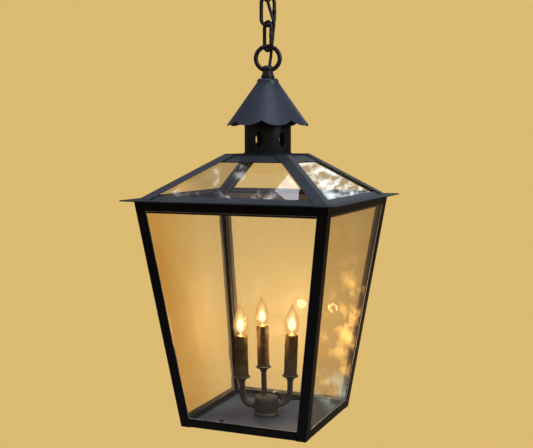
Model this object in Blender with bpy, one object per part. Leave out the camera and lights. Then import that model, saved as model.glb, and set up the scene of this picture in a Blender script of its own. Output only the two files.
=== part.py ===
"""A square metal and glass lantern that hangs on a chain from a ceiling canopy.

Units are metres and +Z is up. Lengths written with MM are millimetres.
Heights are measured from the top of the eave's flat lip. Every object is then placed CEILING
lower than that, so the origin is on the ceiling, above the lantern's axis.
The front faces -Y. Faces are numbered 0 front, 1 right, 2 back, 3 left, which is the door.
"""

import math

import bmesh
import bpy
from mathutils import Matrix, Vector

MM = 0.001
GAP = 0.3 * MM                      # what touching parts keep between them
CEILING = 460 * MM                  # height of the ceiling over the lip
ROUND = 24                          # segments round a turned part

# Body: a square box that narrows towards its floor
BODY_HALF_TOP = 167.3 * MM
BODY_HALF_FOOT = 112.4 * MM
FOOT_Z = -386.8 * MM
POST_FLANGE = 17 * MM
DOOR_SIDE_FLANGE = 8 * MM
SHEET = 2 * MM
TOP_RAIL_EDGE_Z = -17.4 * MM
BOTTOM_RAIL_EDGE_Z = -371.3 * MM
BOTTOM_RAIL_SHELF_Z = -383.5 * MM   # underside of the shelf that the floor hangs under
BOTTOM_RAIL_FOOT_Z = -385.9 * MM
GLASS = 3 * MM

# Door, on the left face; its hinge line runs beside the back post
DOOR_TOP_Z = -12 * MM
DOOR_FOOT_Z = -378.9 * MM
DOOR_MARGIN = DOOR_SIDE_FLANGE + GAP
HINGE_OUT = -2.6 * MM               # the hinge line lies this far outside the face
HINGE_HEIGHTS = {"upper": -70 * MM, "lower": -310 * MM}
KNUCKLE = 2.3                       # millimetres

# Roof: a square pyramid with a flat lip
LIP_HALF = 184 * MM
LIP_THICKNESS = 2 * MM
ROOF_HALF_LOW = 163.2 * MM
ROOF_HALF_HIGH = 57.8 * MM
ROOF_TOP_Z = 72.5 * MM
ROOF_RISE = ROOF_TOP_Z / (ROOF_HALF_LOW - ROOF_HALF_HIGH)
HIP_FLANGE = 21 * MM
HIP_DROP = 1.6 * MM                 # thickness of roof sheet, measured straight down
STRIP_DROP = HIP_DROP + GAP         # the strips lie under the hips, the glass under the strips
PANE_DROP = STRIP_DROP + HIP_DROP + GAP
EAVE_STRIP_HALF = 152 * MM
TOP_STRIP_HALF = 71.6 * MM
TOP_PLATE_HALF = 57 * MM

# Chimney and its scalloped cap
CHIMNEY_RADIUS = 39.8 * MM
CHIMNEY_SHEET = 1.2 * MM
CHIMNEY_TOP_Z = 135 * MM
VENTS = 6
VENT_Z = 98 * MM
VENT_HALF_WIDE = 6.2 * MM
VENT_HALF_TALL = 14.5 * MM
CAP_RADIUS = 71.2 * MM
CAP_EDGE_Z = 121.2 * MM
CAP_SHOULDER = 18.5 * MM
CAP_SHOULDER_Z = 195 * MM
CAP_TOP_Z = 201.6 * MM
CAP_TOP_RADIUS = 13.5 * MM
CAP_SHEET = 1.3 * MM
SCALLOPS = 8
SCALLOP_RISE = 8.6 * MM
FIRST_CUSP = math.radians(13.5)     # from the front towards the right

# Ring, chain and canopy; the ring faces one way and every second link is turned from it
RING_RADIUS = 20.3 * MM
RING_WIRE = 3.8 * MM
RING_Z = 235.3 * MM
RING_TURN = math.radians(22.5)
LINK_TURN = math.radians(-37.5)
LINK_LENGTH = 55 * MM
LINK_WIDTH = 28.5 * MM
LINK_WIRE = 3.2 * MM
LINKS = 3
PITCH = LINK_LENGTH - 4 * LINK_WIRE - GAP
FIRST_LINK_Z = RING_Z + RING_RADIUS - RING_WIRE - GAP - LINK_WIRE    # middle of link 1's lowest wire
CANOPY_RING_Z = (FIRST_LINK_Z + (LINKS - 1) * PITCH + LINK_LENGTH - 3 * LINK_WIRE - GAP
                 - RING_WIRE + RING_RADIUS)
CANOPY_RADIUS = 65 * MM
CANOPY_DEPTH = 32 * MM

# Candle cluster
HUB_AT = Vector((-2.4, -1.0, 0)) * MM
HUB_RADIUS = 20.75 * MM
ARM_RADIUS = 5 * MM
ARM_Z = -366.6 * MM
ARM_BEND = 20 * MM
ARM_TURN = math.radians(27)
SIDE_REACH = 42.5 * MM
SIDE_RIM_Z = -313.7 * MM
SIDE_LEAN = math.radians(1.6)
CENTRE_RIM_Z = -296.7 * MM
CENTRE_LEAN = math.radians(1.65)
STEM_OUT = -5.8 * MM                # the stem's foot, right of the axis in the ring's plane
STEM_FOOT_Z = -352 * MM
SLEEVE_LENGTH = 70.5 * MM

# Cords
SUPPLY_RADIUS = 2.6 * MM
LEAD_RADIUS = 1.5 * MM
SUPPLY_ROUTE = [                    # right of the ring's axis, behind it, height
    (3.2, 7.0, 224.4), (3.9, 7.5, 230), (5.0, 7.6, 238), (5.8, 7.6, 247), (6.8, 6.7, 256),
    (7.8, 4.9, 265), (8.5, 2.3, 273), (9.1, -1.0, 280), (10.0, -3.9, 287), (10.3, -6.1, 294),
    (8.1, -6.9, 302), (5.6, -7.3, 310), (3.1, -8.0, 318), (0.8, -9.3, 326), (-1.1, -10.4, 334),
    (-2.5, -9.4, 343), (-3.6, -8.2, 354), (-4.4, -7.4, 368), (-4.8, -7.2, 384),
    (-4.9, -7.1, 400), (-4.9, -7.0, 414.1),
]
LEAD_ROUTE = [                      # x, y, height
    (0, 0, 119.5), (-1, 1, 112), (-5, 5, 100), (-12, 12, 86), (-20, 20, 72), (-30, 30, 62.5),
    (-45, 45, 63.5), (-60, 60, 56.5), (-80, 80, 43.5), (-100, 100, 30), (-120, 120, 16.5),
    (-138, 138, 4.5), (-148.5, 148.5, -6), (-152, 152, -22), (-147.6, 147.6, -60),
    (-140.5, 140.5, -110), (-133.4, 133.4, -160), (-126.3, 126.3, -210), (-119.2, 119.2, -260),
    (-112.1, 112.1, -310), (-106.5, 106.5, -350), (-102.5, 102.5, -367), (-94, 97.5, -376.5),
    (-78, 95, -381.2), (-52, 93, -381.9), (-25, 86, -381.9), (-4, 70, -381.5), (6, 51, -377),
    (10.1, 39, -367), (11.1, 30, -355), (9.6, 23.5, -347.8), (6.6, 17.5, -346.6), (4.6, 14, -348.3),
]

# Colours: base colour, metallic, roughness, alpha
FINISHES = {
    "black_metal": ((0.020, 0.020, 0.022), 0.6, 0.42, 1.0),
    "roof_metal": ((0.075, 0.080, 0.095), 0.7, 0.38, 1.0),
    "clear_glass": ((0.92, 0.94, 0.90), 0.0, 0.05, 0.25),
    "bronze_metal": ((0.050, 0.038, 0.028), 0.6, 0.45, 1.0),
    "sleeve": ((0.045, 0.035, 0.028), 0.1, 0.50, 1.0),
    "socket": ((0.55, 0.42, 0.20), 0.9, 0.35, 1.0),
    "bulb_glass": ((1.0, 0.80, 0.45), 0.0, 0.05, 0.5),
    "cord": ((0.015, 0.015, 0.016), 0.0, 0.60, 1.0),
    "lead": ((0.55, 0.55, 0.52), 0.0, 0.45, 1.0),
}


# ---------------------------------------------------------------- tools

def material(name):
    made = bpy.data.materials.get(name)
    if made:
        return made
    made = bpy.data.materials.new(name)
    made.use_nodes = True
    colour, metallic, roughness, alpha = FINISHES[name]
    shader = made.node_tree.nodes["Principled BSDF"]
    shader.inputs["Base Color"].default_value = (*colour, 1)
    shader.inputs["Metallic"].default_value = metallic
    shader.inputs["Roughness"].default_value = roughness
    shader.inputs["Alpha"].default_value = alpha
    return made


def put(name, data, finish, at=(0, 0, 0), axis=(0, 0, 1), turn=0.0):
    """An object at a place measured from the eave, its own Z along axis, turned about it."""
    made = bpy.data.objects.new(name, data)
    bpy.context.scene.collection.objects.link(made)
    lean = Vector((0, 0, 1)).rotation_difference(Vector(axis))
    made.rotation_mode = "QUATERNION"
    made.rotation_quaternion = lean @ Matrix.Rotation(turn, 3, "Z").to_quaternion()
    made.location = Vector(at) - Vector((0, 0, CEILING))
    if finish:
        data.materials.append(material(finish))
    return made


def solid(name, points, faces, finish, smooth=None, **place):
    """A closed mesh, faces outwards, shaded smooth under an angle if one is given."""
    bm = bmesh.new()
    made = [bm.verts.new(p) for p in points]
    for face in faces:
        bm.faces.new([made[i] for i in face])
    return closed(name, bm, finish, smooth, **place)


def closed(name, bm, finish, smooth=None, **place):
    bmesh.ops.remove_doubles(bm, verts=bm.verts, dist=1e-6)
    bmesh.ops.recalc_face_normals(bm, faces=bm.faces)
    mesh = bpy.data.meshes.new(name)
    bm.to_mesh(mesh)
    bm.free()
    if smooth:
        mesh.shade_smooth()
        mesh.set_sharp_from_angle(angle=math.radians(smooth))
    return put(name, mesh, finish, **place)


def turned(name, profile, finish, segments=ROUND, ring=False, **place):
    """A profile of (radius, height) in millimetres, spun about Z. A ring's profile closes itself."""
    bm = bmesh.new()
    line = [bm.verts.new((r * MM, 0, z * MM)) for r, z in profile]
    ends = line[1:] + line[:1] if ring else line[1:]
    for a, b in zip(line, ends):
        bm.edges.new((a, b))
    bmesh.ops.spin(bm, geom=bm.verts[:] + bm.edges[:], cent=(0, 0, 0), axis=(0, 0, 1),
                   angle=math.tau, steps=segments, use_merge=True)
    return closed(name, bm, finish, 40, **place)


def tube(name, points, radius, finish, closes=False, detail=2, **place):
    """A round bar or cord along points."""
    curve = bpy.data.curves.new(name, "CURVE")
    curve.dimensions = "3D"
    spline = curve.splines.new("POLY")
    spline.points.add(len(points) - 1)
    for spot, p in zip(spline.points, points):
        spot.co = (*p, 1)
    spline.use_cyclic_u = closes
    spline.use_smooth = True
    curve.bevel_depth = radius
    curve.bevel_resolution = detail
    curve.use_fill_caps = not closes
    return put(name, curve, finish, **place)


def combine(target, tools, operation):
    """Cuts the tools out of the target, or joins them to it, and keeps them out of the render."""
    for tool in tools:
        step = target.modifiers.new(tool.name, "BOOLEAN")
        step.operation = operation
        step.solver = "EXACT"
        step.object = tool
        tool.hide_render = True
        tool.display_type = "WIRE"


def quarter(face, point):
    """A point of the front face, carried round to another face."""
    x, y, z = point
    for _ in range(face):
        x, y = -y, x
    return x, y, z


def loft(name, rings, finish, smooth=None, **place):
    """Closed outlines of equal count, joined in order and capped at both ends."""
    count = len(rings[0])
    faces = [tuple(range(count)), tuple(range((len(rings) - 1) * count, len(rings) * count))]
    for k in range(len(rings) - 1):
        for i in range(count):
            j = (i + 1) % count
            faces.append((k * count + i, k * count + j, (k + 1) * count + j, (k + 1) * count + i))
    return solid(name, [p for ring in rings for p in ring], faces, finish, smooth, **place)


def square_frame(name, profile, finish):
    """A profile of (half width, height), swept round the square with mitred corners."""
    count = len(profile)
    points = [quarter(k, (half, -half, z)) for k in range(4) for half, z in profile]
    faces = []
    for k in range(4):
        for i in range(count):
            j = (i + 1) % count
            n = (k + 1) % 4
            faces.append((k * count + i, k * count + j, n * count + j, n * count + i))
    return solid(name, points, faces, finish)


def smooth_route(route, step):
    """Points about a step apart on a smooth curve through the route's points."""
    spots = [Vector(p) for p in route]
    spots = [spots[0] * 2 - spots[1]] + spots + [spots[-1] * 2 - spots[-2]]
    line = []
    for a, b, c, d in zip(spots, spots[1:], spots[2:], spots[3:]):
        pieces = max(1, round((c - b).length / step))
        for k in range(pieces):
            t = k / pieces
            line.append(0.5 * (2 * b + (c - a) * t + (2 * a - 5 * b + 4 * c - d) * t * t
                               + (3 * b - a - 3 * c + d) * t ** 3))
    return line + [spots[-2]]


# ---------------------------------------------------------------- shapes of the body and the roof

def body_half(z):
    return BODY_HALF_TOP + (BODY_HALF_FOOT - BODY_HALF_TOP) * z / FOOT_Z


def roof_z(half):
    return (ROOF_HALF_LOW - half) * ROOF_RISE


def roof_half(z):
    return ROOF_HALF_LOW - z / ROOF_RISE


def angle_bar(name, corner, half_at, low, high, flanges, thickness, finish, outset=0.0):
    """An L-section bar up one corner; half_at gives the corner's half width at a height."""
    first, second = flanges
    rings = []
    for z in (low, high):
        h = half_at(z) + outset
        outline = [(h, -h), (h, second - h), (h - thickness, second - h), (h - thickness, thickness - h),
                   (h - first, thickness - h), (h - first, -h)]
        rings.append([quarter(corner, (x, y, z)) for x, y in outline])
    return loft(name, rings, finish)


def side_outline(face, margin, low, high, depth):
    """A body face's outline, margin in from its corners, at a depth behind its outside."""
    spots = [(-1, low), (1, low), (1, high), (-1, high)]
    return [quarter(face, (side * (body_half(z) - margin), depth - body_half(z), z)) for side, z in spots]


def side_plate(name, face, margin, low, high, depth, thickness, finish):
    rings = [side_outline(face, margin, low, high, d) for d in (depth, depth + thickness)]
    return loft(name, rings, finish)


def roof_plate(name, face, margin, low_half, high_half, drop, thickness, finish):
    rings = []
    for d in (drop, drop + thickness):
        spots = [(-1, low_half), (1, low_half), (1, high_half), (-1, high_half)]
        rings.append([quarter(face, (s * (h - margin), -h, roof_z(h) - d)) for s, h in spots])
    return loft(name, rings, finish)


def door_spot(margin, z, depth, side=-1):
    """A place on the left face, in from its back edge, or from its front edge with side 1."""
    return Vector(quarter(3, (side * (body_half(z) - margin), depth - body_half(z), z)))


# ---------------------------------------------------------------- lantern body

def flanges_of(corner):
    """Widths of a post's two flanges: those beside the door are narrow."""
    return (DOOR_SIDE_FLANGE if corner == 3 else POST_FLANGE,
            DOOR_SIDE_FLANGE if corner == 2 else POST_FLANGE)


def make_posts():
    for corner, word in enumerate(("front_right", "back_right", "back_left", "front_left")):
        angle_bar("post_" + word, corner, body_half, FOOT_Z, -LIP_THICKNESS - GAP, flanges_of(corner), SHEET,
                  "black_metal")


def make_rails():
    """Angle-iron rings, notched for the posts and for the door."""
    room = SHEET + GAP
    cutters = []
    for corner in range(4):
        wide = tuple(f + GAP + MM for f in flanges_of(corner))
        cutters.append(angle_bar(f"post_room_{corner}", corner, body_half, FOOT_Z - MM, MM, wide,
                                 room + MM, None, outset=MM))
    cutters.append(side_plate("door_room", 3, DOOR_SIDE_FLANGE, DOOR_FOOT_Z - 0.8 * MM, DOOR_TOP_Z + GAP,
                              -MM, room + MM, None))

    def inward(z, depth):
        return body_half(z) - depth, z

    top = -LIP_THICKNESS - GAP
    shelf = top - SHEET
    top_rail = square_frame("top_rail_frame", [
        inward(top, 0), inward(TOP_RAIL_EDGE_Z, 0), inward(TOP_RAIL_EDGE_Z, SHEET), inward(shelf, SHEET),
        inward(shelf, 8 * MM), inward(top, 8 * MM)], "black_metal")
    foot, low = BOTTOM_RAIL_FOOT_Z, BOTTOM_RAIL_SHELF_Z
    high = low + 1.5 * MM
    bottom_rail = square_frame("bottom_rail_frame", [
        inward(foot, 0), inward(foot, SHEET), inward(low, SHEET), inward(low, 10 * MM),
        inward(high, 10 * MM), inward(high, SHEET), inward(BOTTOM_RAIL_EDGE_Z, SHEET),
        inward(BOTTOM_RAIL_EDGE_Z, 0)], "black_metal")
    combine(top_rail, cutters, "DIFFERENCE")
    combine(bottom_rail, cutters, "DIFFERENCE")


def make_side_panes():
    for face, word in enumerate(("front", "right", "back")):
        side_plate("pane_" + word, face, 6 * MM, -380 * MM, -5 * MM, SHEET + GAP, GLASS, "clear_glass")


def make_floor():
    half = body_half(BOTTOM_RAIL_SHELF_Z) - 5 * MM
    top = BOTTOM_RAIL_SHELF_Z - GAP
    rings = [[quarter(k, (half, -half, z)) for k in range(4)] for z in (top - 1.5 * MM, top)]
    plate = loft("floor_plate", rings, "roof_metal")
    hole = turned("floor_hole", [(0, -390), (2.5, -390), (2.5, -375), (0, -375)], None, 12,
                  at=(-56 * MM, -72 * MM, 0))
    combine(plate, [hole], "DIFFERENCE")


# ---------------------------------------------------------------- door

def hinge_axis():
    high, low = (door_spot(DOOR_MARGIN, z, HINGE_OUT) for z in (-100 * MM, -300 * MM))
    return (high - low).normalized()


def leaf(name, z, margins, depths, finish):
    """A small plate on the left face, near its back edge."""
    tall = 12 * MM
    rings = [[door_spot(m, h, d) for m, h in ((margins[0], z), (margins[1], z), (margins[1], z + tall),
                                              (margins[0], z + tall))] for d in depths]
    return loft(name, rings, finish)


def make_door():
    """Returns the door's pieces; its frame carries the upper knuckle of each hinge."""
    outer = (DOOR_MARGIN, DOOR_FOOT_Z, DOOR_TOP_Z)
    inner = (POST_FLANGE, BOTTOM_RAIL_EDGE_Z, TOP_RAIL_EDGE_Z)
    points = [p for d in (0, SHEET) for outline in (outer, inner) for p in side_outline(3, *outline, d)]
    faces = []
    for i in range(4):
        j = (i + 1) % 4
        for a, b in ((0, 4), (12, 8), (8, 0), (4, 12)):       # outside, inside, outer edge, inner edge
            faces.append((a + i, a + j, b + j, b + i))
    frame = solid("door_frame", points, faces, "black_metal")
    knuckles = []
    for word, z in HINGE_HEIGHTS.items():
        at = door_spot(DOOR_MARGIN, z, HINGE_OUT)
        knuckles.append(leaf(f"{word}_door_leaf", z, (DOOR_MARGIN + GAP, 16 * MM), (-1.6 * MM, 0.6 * MM),
                             None))
        profile = [(1.3, 0), (KNUCKLE, 0), (KNUCKLE, 12), (1.3, 12)]
        knuckles.append(turned(f"{word}_door_knuckle", profile, None, 16, ring=True, at=at,
                               axis=hinge_axis()))
    combine(frame, knuckles, "UNION")
    pane = side_plate("door_pane", 3, 10.3 * MM, -377.4 * MM, -14 * MM, SHEET + GAP, GLASS, "clear_glass")
    at = door_spot(12.6 * MM, -195 * MM, -GAP, side=1)
    out = (-1, 0, (BODY_HALF_FOOT - BODY_HALF_TOP) / -FOOT_Z)
    profile = [(0, 0), (3.4, 0), (3.4, 0.8), (2, 1.2), (2, 2.2), (4.2, 2.9), (4.4, 3.9), (3.2, 4.6), (0, 4.8)]
    knob = turned("door_knob", profile, "black_metal", 16, at=at, axis=out)
    return [frame, pane, knob]


def make_hinges():
    """The half of each hinge that stays on the post, with its pin."""
    for word, z in HINGE_HEIGHTS.items():
        low = z - 12.4 * MM
        at = door_spot(DOOR_MARGIN, z, HINGE_OUT) - hinge_axis() * 12.4 * MM
        pin = [(0, 0), (KNUCKLE, 0), (KNUCKLE, 12), (1.0, 12), (1.0, 23.4), (0, 23.4)]
        hinge = turned("door_hinge_" + word, pin, "black_metal", 16, at=at, axis=hinge_axis())
        plate = leaf(word + "_post_leaf", low, (MM, DOOR_SIDE_FLANGE - GAP), (-1.6 * MM, -GAP), None)
        combine(hinge, [plate], "UNION")


def make_door_stop():
    """A tab behind the front post that the door closes against."""
    rings = []
    for depth in (SHEET + GAP, SHEET + GAP + 1.5 * MM):
        spots = [(2.5 * MM, -187 * MM), (10 * MM, -187 * MM), (10 * MM, -203 * MM), (2.5 * MM, -203 * MM)]
        rings.append([door_spot(m, z, depth, side=1) for m, z in spots])
    loft("door_stop", rings, "black_metal")


# ---------------------------------------------------------------- roof

def make_roof():
    lip_meets = ROOF_HALF_LOW - STRIP_DROP / ROOF_RISE
    under = ROOF_HALF_LOW + (LIP_THICKNESS - STRIP_DROP - HIP_DROP) / ROOF_RISE

    def strip(half, drop):
        return half, roof_z(half) - drop

    square_frame("roof_eave_frame", [
        (LIP_HALF, -LIP_THICKNESS), (LIP_HALF, 0), (lip_meets, 0), strip(EAVE_STRIP_HALF, STRIP_DROP),
        strip(EAVE_STRIP_HALF, STRIP_DROP + HIP_DROP), (under, -LIP_THICKNESS)], "roof_metal")
    for corner, word in enumerate(("front_right", "back_right", "back_left", "front_left")):
        angle_bar("hip_" + word, corner, roof_half, GAP, ROOF_TOP_Z, (HIP_FLANGE, HIP_FLANGE),
                  HIP_DROP / ROOF_RISE, "roof_metal")
    for face, word in enumerate(("front", "right", "back", "left")):
        roof_plate("roof_pane_" + word, face, MM, 156 * MM, 60 * MM, PANE_DROP, GLASS, "clear_glass")
    top = ROOF_TOP_Z + GAP
    neck = ROOF_HALF_HIGH - (STRIP_DROP + GAP) / ROOF_RISE
    plate = square_frame("roof_top_plate", [
        (15 * MM, top), (15 * MM, top + MM), (TOP_PLATE_HALF, top + MM), (TOP_PLATE_HALF, top), (neck, top),
        strip(neck, STRIP_DROP + GAP), strip(TOP_STRIP_HALF, STRIP_DROP),
        strip(TOP_STRIP_HALF, STRIP_DROP + HIP_DROP),
        strip(neck - 2 * MM, STRIP_DROP + HIP_DROP), (neck - 2 * MM, top - 0.5 * MM),
        (16 * MM, top - 0.5 * MM)], "roof_metal")
    flue = turned("flue_hole", [(0, 60), (34, 60), (34, 80), (0, 80)], None, at=(0, 0, 0))
    combine(plate, [flue], "DIFFERENCE")


def make_chimney():
    low = (ROOF_TOP_Z + GAP + MM + GAP) / MM
    high = CHIMNEY_TOP_Z / MM
    radius = CHIMNEY_RADIUS / MM
    inner = radius - CHIMNEY_SHEET / MM
    chimney = turned("chimney", [(radius, low), (radius, high), (inner, high), (inner, low)], "roof_metal",
                     36, ring=True, turn=math.radians(3))
    vents = []
    bow = (VENT_HALF_TALL ** 2 + VENT_HALF_WIDE ** 2) / (2 * VENT_HALF_WIDE)    # radius of an almond's side
    for k in range(VENTS):
        outline = []
        for side in (1, -1):
            for t in (-1, -0.7, -0.35, 0, 0.35, 0.7):
                z = side * t * VENT_HALF_TALL
                outline.append((side * (math.sqrt(bow ** 2 - z ** 2) - bow + VENT_HALF_WIDE), z + VENT_Z))
        rings = [[(x, -y, z) for x, z in outline] for y in (25 * MM, 50 * MM)]
        vents.append(loft(f"vent_room_{k}", rings, None, turn=math.tau * k / VENTS))
    combine(chimney, vents, "DIFFERENCE")


def make_cap():
    """A cone of thin sheet with a rounded shoulder and a scalloped lower edge."""
    steps = 6 * SCALLOPS
    chord = CAP_RADIUS * math.sin(math.pi / SCALLOPS)
    lobe = (chord ** 2 + SCALLOP_RISE ** 2) / (2 * SCALLOP_RISE)

    def outline(edge_z, inset):
        lean = (CAP_RADIUS - CAP_SHOULDER) / (CAP_SHOULDER_Z - CAP_EDGE_Z)
        line = [(CAP_RADIUS - lean * (edge_z - CAP_EDGE_Z) - inset, edge_z),
                (CAP_SHOULDER - inset, CAP_SHOULDER_Z)]
        for degrees in (45, 90):
            a = math.radians(degrees)
            line.append((CAP_TOP_RADIUS - inset / 2 + 5.5 * MM * math.cos(a),
                         CAP_SHOULDER_Z + (CAP_TOP_Z - CAP_SHOULDER_Z - inset) * math.sin(a)))
        return line + [(5.3 * MM, CAP_TOP_Z - inset)]

    points, rows = [], 10
    for k in range(steps):
        angle = math.tau * k / steps
        off = (angle * SCALLOPS + math.pi) % math.tau - math.pi       # 0 on a cusp, pi in a lobe's middle
        side = CAP_RADIUS * math.sin((math.pi - abs(off)) / SCALLOPS)
        edge_z = CAP_EDGE_Z + lobe - math.sqrt(lobe ** 2 - side ** 2)
        heading = angle + FIRST_CUSP
        for r, z in outline(edge_z, 0) + outline(edge_z, CAP_SHEET)[::-1]:
            points.append((r * math.sin(heading), -r * math.cos(heading), z))
    faces = []
    for k in range(steps):
        n = (k + 1) % steps
        for i in range(rows):
            j = (i + 1) % rows
            faces.append((k * rows + i, n * rows + i, n * rows + j, k * rows + j))
    solid("chimney_cap", points, faces, "roof_metal", 40)


def make_cap_strap():
    """A bar across the chimney's mouth, with a tab down each end, that carries the nipple."""
    half_wide = 8 * MM
    reach = math.sqrt((CHIMNEY_RADIUS - CHIMNEY_SHEET) ** 2 - half_wide ** 2) - GAP
    outline = [(-reach / MM, 112), (-reach / MM, 130), (reach / MM, 130), (reach / MM, 112),
               (reach / MM - 2, 112), (reach / MM - 2, 128), (2 - reach / MM, 128), (2 - reach / MM, 112)]
    rings = [[(x * MM, y, z * MM) for x, z in outline] for y in (-half_wide, half_wide)]
    strap = loft("cap_strap", rings, "black_metal", turn=math.radians(30))
    hole = turned("strap_hole", [(0, 120), (5.2, 120), (5.2, 140), (0, 140)], None, 24)
    combine(strap, [hole], "DIFFERENCE")


def make_suspension():
    """The nipple through strap and cap, and the ring on top of it."""
    turned("cap_nipple", [(3.2, 121), (4.9, 121), (4.9, 210), (3.2, 210)], "black_metal", 20, ring=True)
    loop = turned("hanging_loop", [
        (0, 210.8), (5.2, 210.5), (5.2, 202.1), (11.0, 202.1), (11.4, 202.8), (11.4, 206.2), (10.8, 206.8),
        (9.6, 207.4), (9.6, 211), (8.7, 211.6), (8.7, 215.6), (9.6, 216.6), (9.5, 219.5), (8.0, 222.2),
        (5.0, 223.5), (0, 223.5)], "black_metal", 20)
    combine(loop, [wire_ring("loop_ring", RING_Z)], "UNION")


def wire_ring(name, z):
    """A ring of round wire, standing up, that faces RING_TURN from the front."""
    circle = [(RING_RADIUS + RING_WIRE * math.cos(math.tau * k / 10), RING_WIRE * math.sin(math.tau * k / 10))
              for k in range(10)]
    return turned(name, [(r / MM, h / MM) for r, h in circle], None, ring=True, at=(0, 0, z),
                  axis=(math.sin(RING_TURN), -math.cos(RING_TURN), 0))


# ---------------------------------------------------------------- chain and canopy

def link_foot_z(number):
    return FIRST_LINK_Z + (number - 1) * PITCH


def make_link(number):
    """A link of round wire: two half circles joined by straight legs."""
    radius = LINK_WIDTH / 2 - LINK_WIRE
    foot = link_foot_z(number) + radius
    head = foot + LINK_LENGTH - LINK_WIDTH
    points = []
    for centre, start in ((head, 0), (foot, math.pi)):
        for k in range(13):
            a = start + math.pi * k / 12
            points.append((radius * math.cos(a), 0, centre + radius * math.sin(a)))
    turn = RING_TURN if number % 2 == 0 else LINK_TURN
    return tube(f"chain_link_{number}", points, LINK_WIRE, "black_metal", closes=True, detail=2, turn=turn)


def make_canopy():
    top = CEILING / MM
    deep = CANOPY_DEPTH / MM
    rim = CANOPY_RADIUS / MM
    outer = [(rim, 0), (rim, -3), (rim - 7, -8.5), (rim - 17, -16), (rim - 30, -24), (rim - 43, -29.5),
             (rim - 51, -deep), (5.4, -deep)]
    inner = [(5.4, -deep + 1.4), (rim - 51, -deep + 1.4), (rim - 30, -22.4), (rim - 17, -14.4),
             (rim - 3.4, -3.8), (rim - 2, 0)]
    turned("ceiling_canopy", [(r, top + z) for r, z in outer + inner], "black_metal", 32, ring=True)
    half_long, half_wide = 48 * MM, 9 * MM
    corners = ((-half_long, -half_wide), (half_long, -half_wide), (half_long, half_wide), (-half_long, half_wide))
    rings = [[(x, y, z) for x, y in corners] for z in (CEILING - 2.5 * MM, CEILING)]
    bar = loft("ceiling_crossbar", rings, "black_metal")
    profile = [(0, top - 2.8), (5.2, top - 2.8), (5.2, top - 12), (8, top - 12), (8, top - 1), (0, top - 1)]
    boss = turned("crossbar_boss", profile, None, 24)
    profile = [(0, top - 5), (2.3, top - 5), (2.3, top + 3), (0, top + 3)]
    holes = [turned(f"crossbar_hole_{side}", profile, None, 12, at=(side * 38 * MM, 0, 0))
             for side in (-1, 1)]
    combine(bar, [boss], "UNION")
    combine(bar, holes, "DIFFERENCE")
    neck = (CANOPY_RING_Z + RING_RADIUS) / MM
    profile = [(3.2, neck + 8), (4.9, neck + 8), (4.9, top - 3.2), (3.2, top - 3.2)]
    turned("canopy_nipple", profile, "black_metal", 20, ring=True)
    under = top - deep - 0.3
    loop = turned("canopy_loop", [
        (0, neck + 6.5), (5.2, neck + 7), (5.2, under), (11.3, under), (11.8, under - 0.5), (11.8, under - 4),
        (9.5, under - 5), (9.5, neck + 4), (8, neck + 1.6), (5, neck + 0.5), (0, neck + 0.5)],
        "black_metal", 20)
    combine(loop, [wire_ring("canopy_ring", CANOPY_RING_Z)], "UNION")


def make_supply_cord():
    """One cord in four lengths that meet half-way up each link, so that each crosses one pivot."""
    c, s = math.cos(RING_TURN), math.sin(RING_TURN)
    route = [((right * c - behind * s) * MM, (right * s + behind * c) * MM, z * MM)
             for right, behind, z in SUPPLY_ROUTE]
    line = smooth_route(route, 5 * MM)
    middles = [link_foot_z(k) + (LINK_LENGTH - 2 * LINK_WIRE) / 2 for k in range(1, LINKS + 1)]
    bounds = [-1, *middles, 1]
    for k in range(LINKS + 1):
        piece = []
        for a, b in zip(line, line[1:]):
            for edge, side in ((bounds[k], 1), (bounds[k + 1], -1)):
                if a.z < edge <= b.z:
                    t = (edge + side * GAP / 2 - a.z) / (b.z - a.z)
                    piece.append(a.lerp(b, t))
        inside = [p for p in line if bounds[k] + GAP < p.z < bounds[k + 1] - GAP]
        piece = sorted(inside + piece, key=lambda p: p.z)
        tube(f"supply_cord_{k + 1}", piece, SUPPLY_RADIUS, "cord", detail=2)


# ---------------------------------------------------------------- candle cluster

def make_hub():
    body = turned("hub_body", [
        (19.0, -383.5), (22.8, -383.5), (22.8, -379.8), (21.6, -378.6), (HUB_RADIUS / MM, -377.6),
        (HUB_RADIUS / MM, -354.2), (19.6, -353), (19.0, -353)], "bronze_metal", ring=True, at=HUB_AT)
    bore = turned("arm_room", [(0, -40), (5.3, -40), (5.3, 40), (0, 40)], None, 20,
                  at=HUB_AT + Vector((0, 0, ARM_Z)), axis=(math.cos(ARM_TURN), math.sin(ARM_TURN), 0))
    combine(body, [bore], "DIFFERENCE")
    cap = turned("hub_cap", [
        (0, -354.4), (18.4, -354.4), (18.4, -352.7), (20.2, -352.7), (19.6, -351.6), (15, -350.3),
        (9, -349.3), (0, -348.8)], "bronze_metal", at=HUB_AT)
    hole = turned("stem_room", [(0, -12), (5.05, -12), (5.05, 20), (0, 20)], None, 20, at=stem_foot(),
                  axis=centre_axis())
    combine(cap, [hole], "DIFFERENCE")


def stem_foot():
    return Vector((STEM_OUT * math.cos(RING_TURN), STEM_OUT * math.sin(RING_TURN), STEM_FOOT_Z))


def centre_axis():
    """The middle candle leans a little to the left, seen from in front of the ring."""
    return Vector((-math.cos(RING_TURN) * math.sin(CENTRE_LEAN), -math.sin(RING_TURN) * math.sin(CENTRE_LEAN),
                   math.cos(CENTRE_LEAN)))


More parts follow.
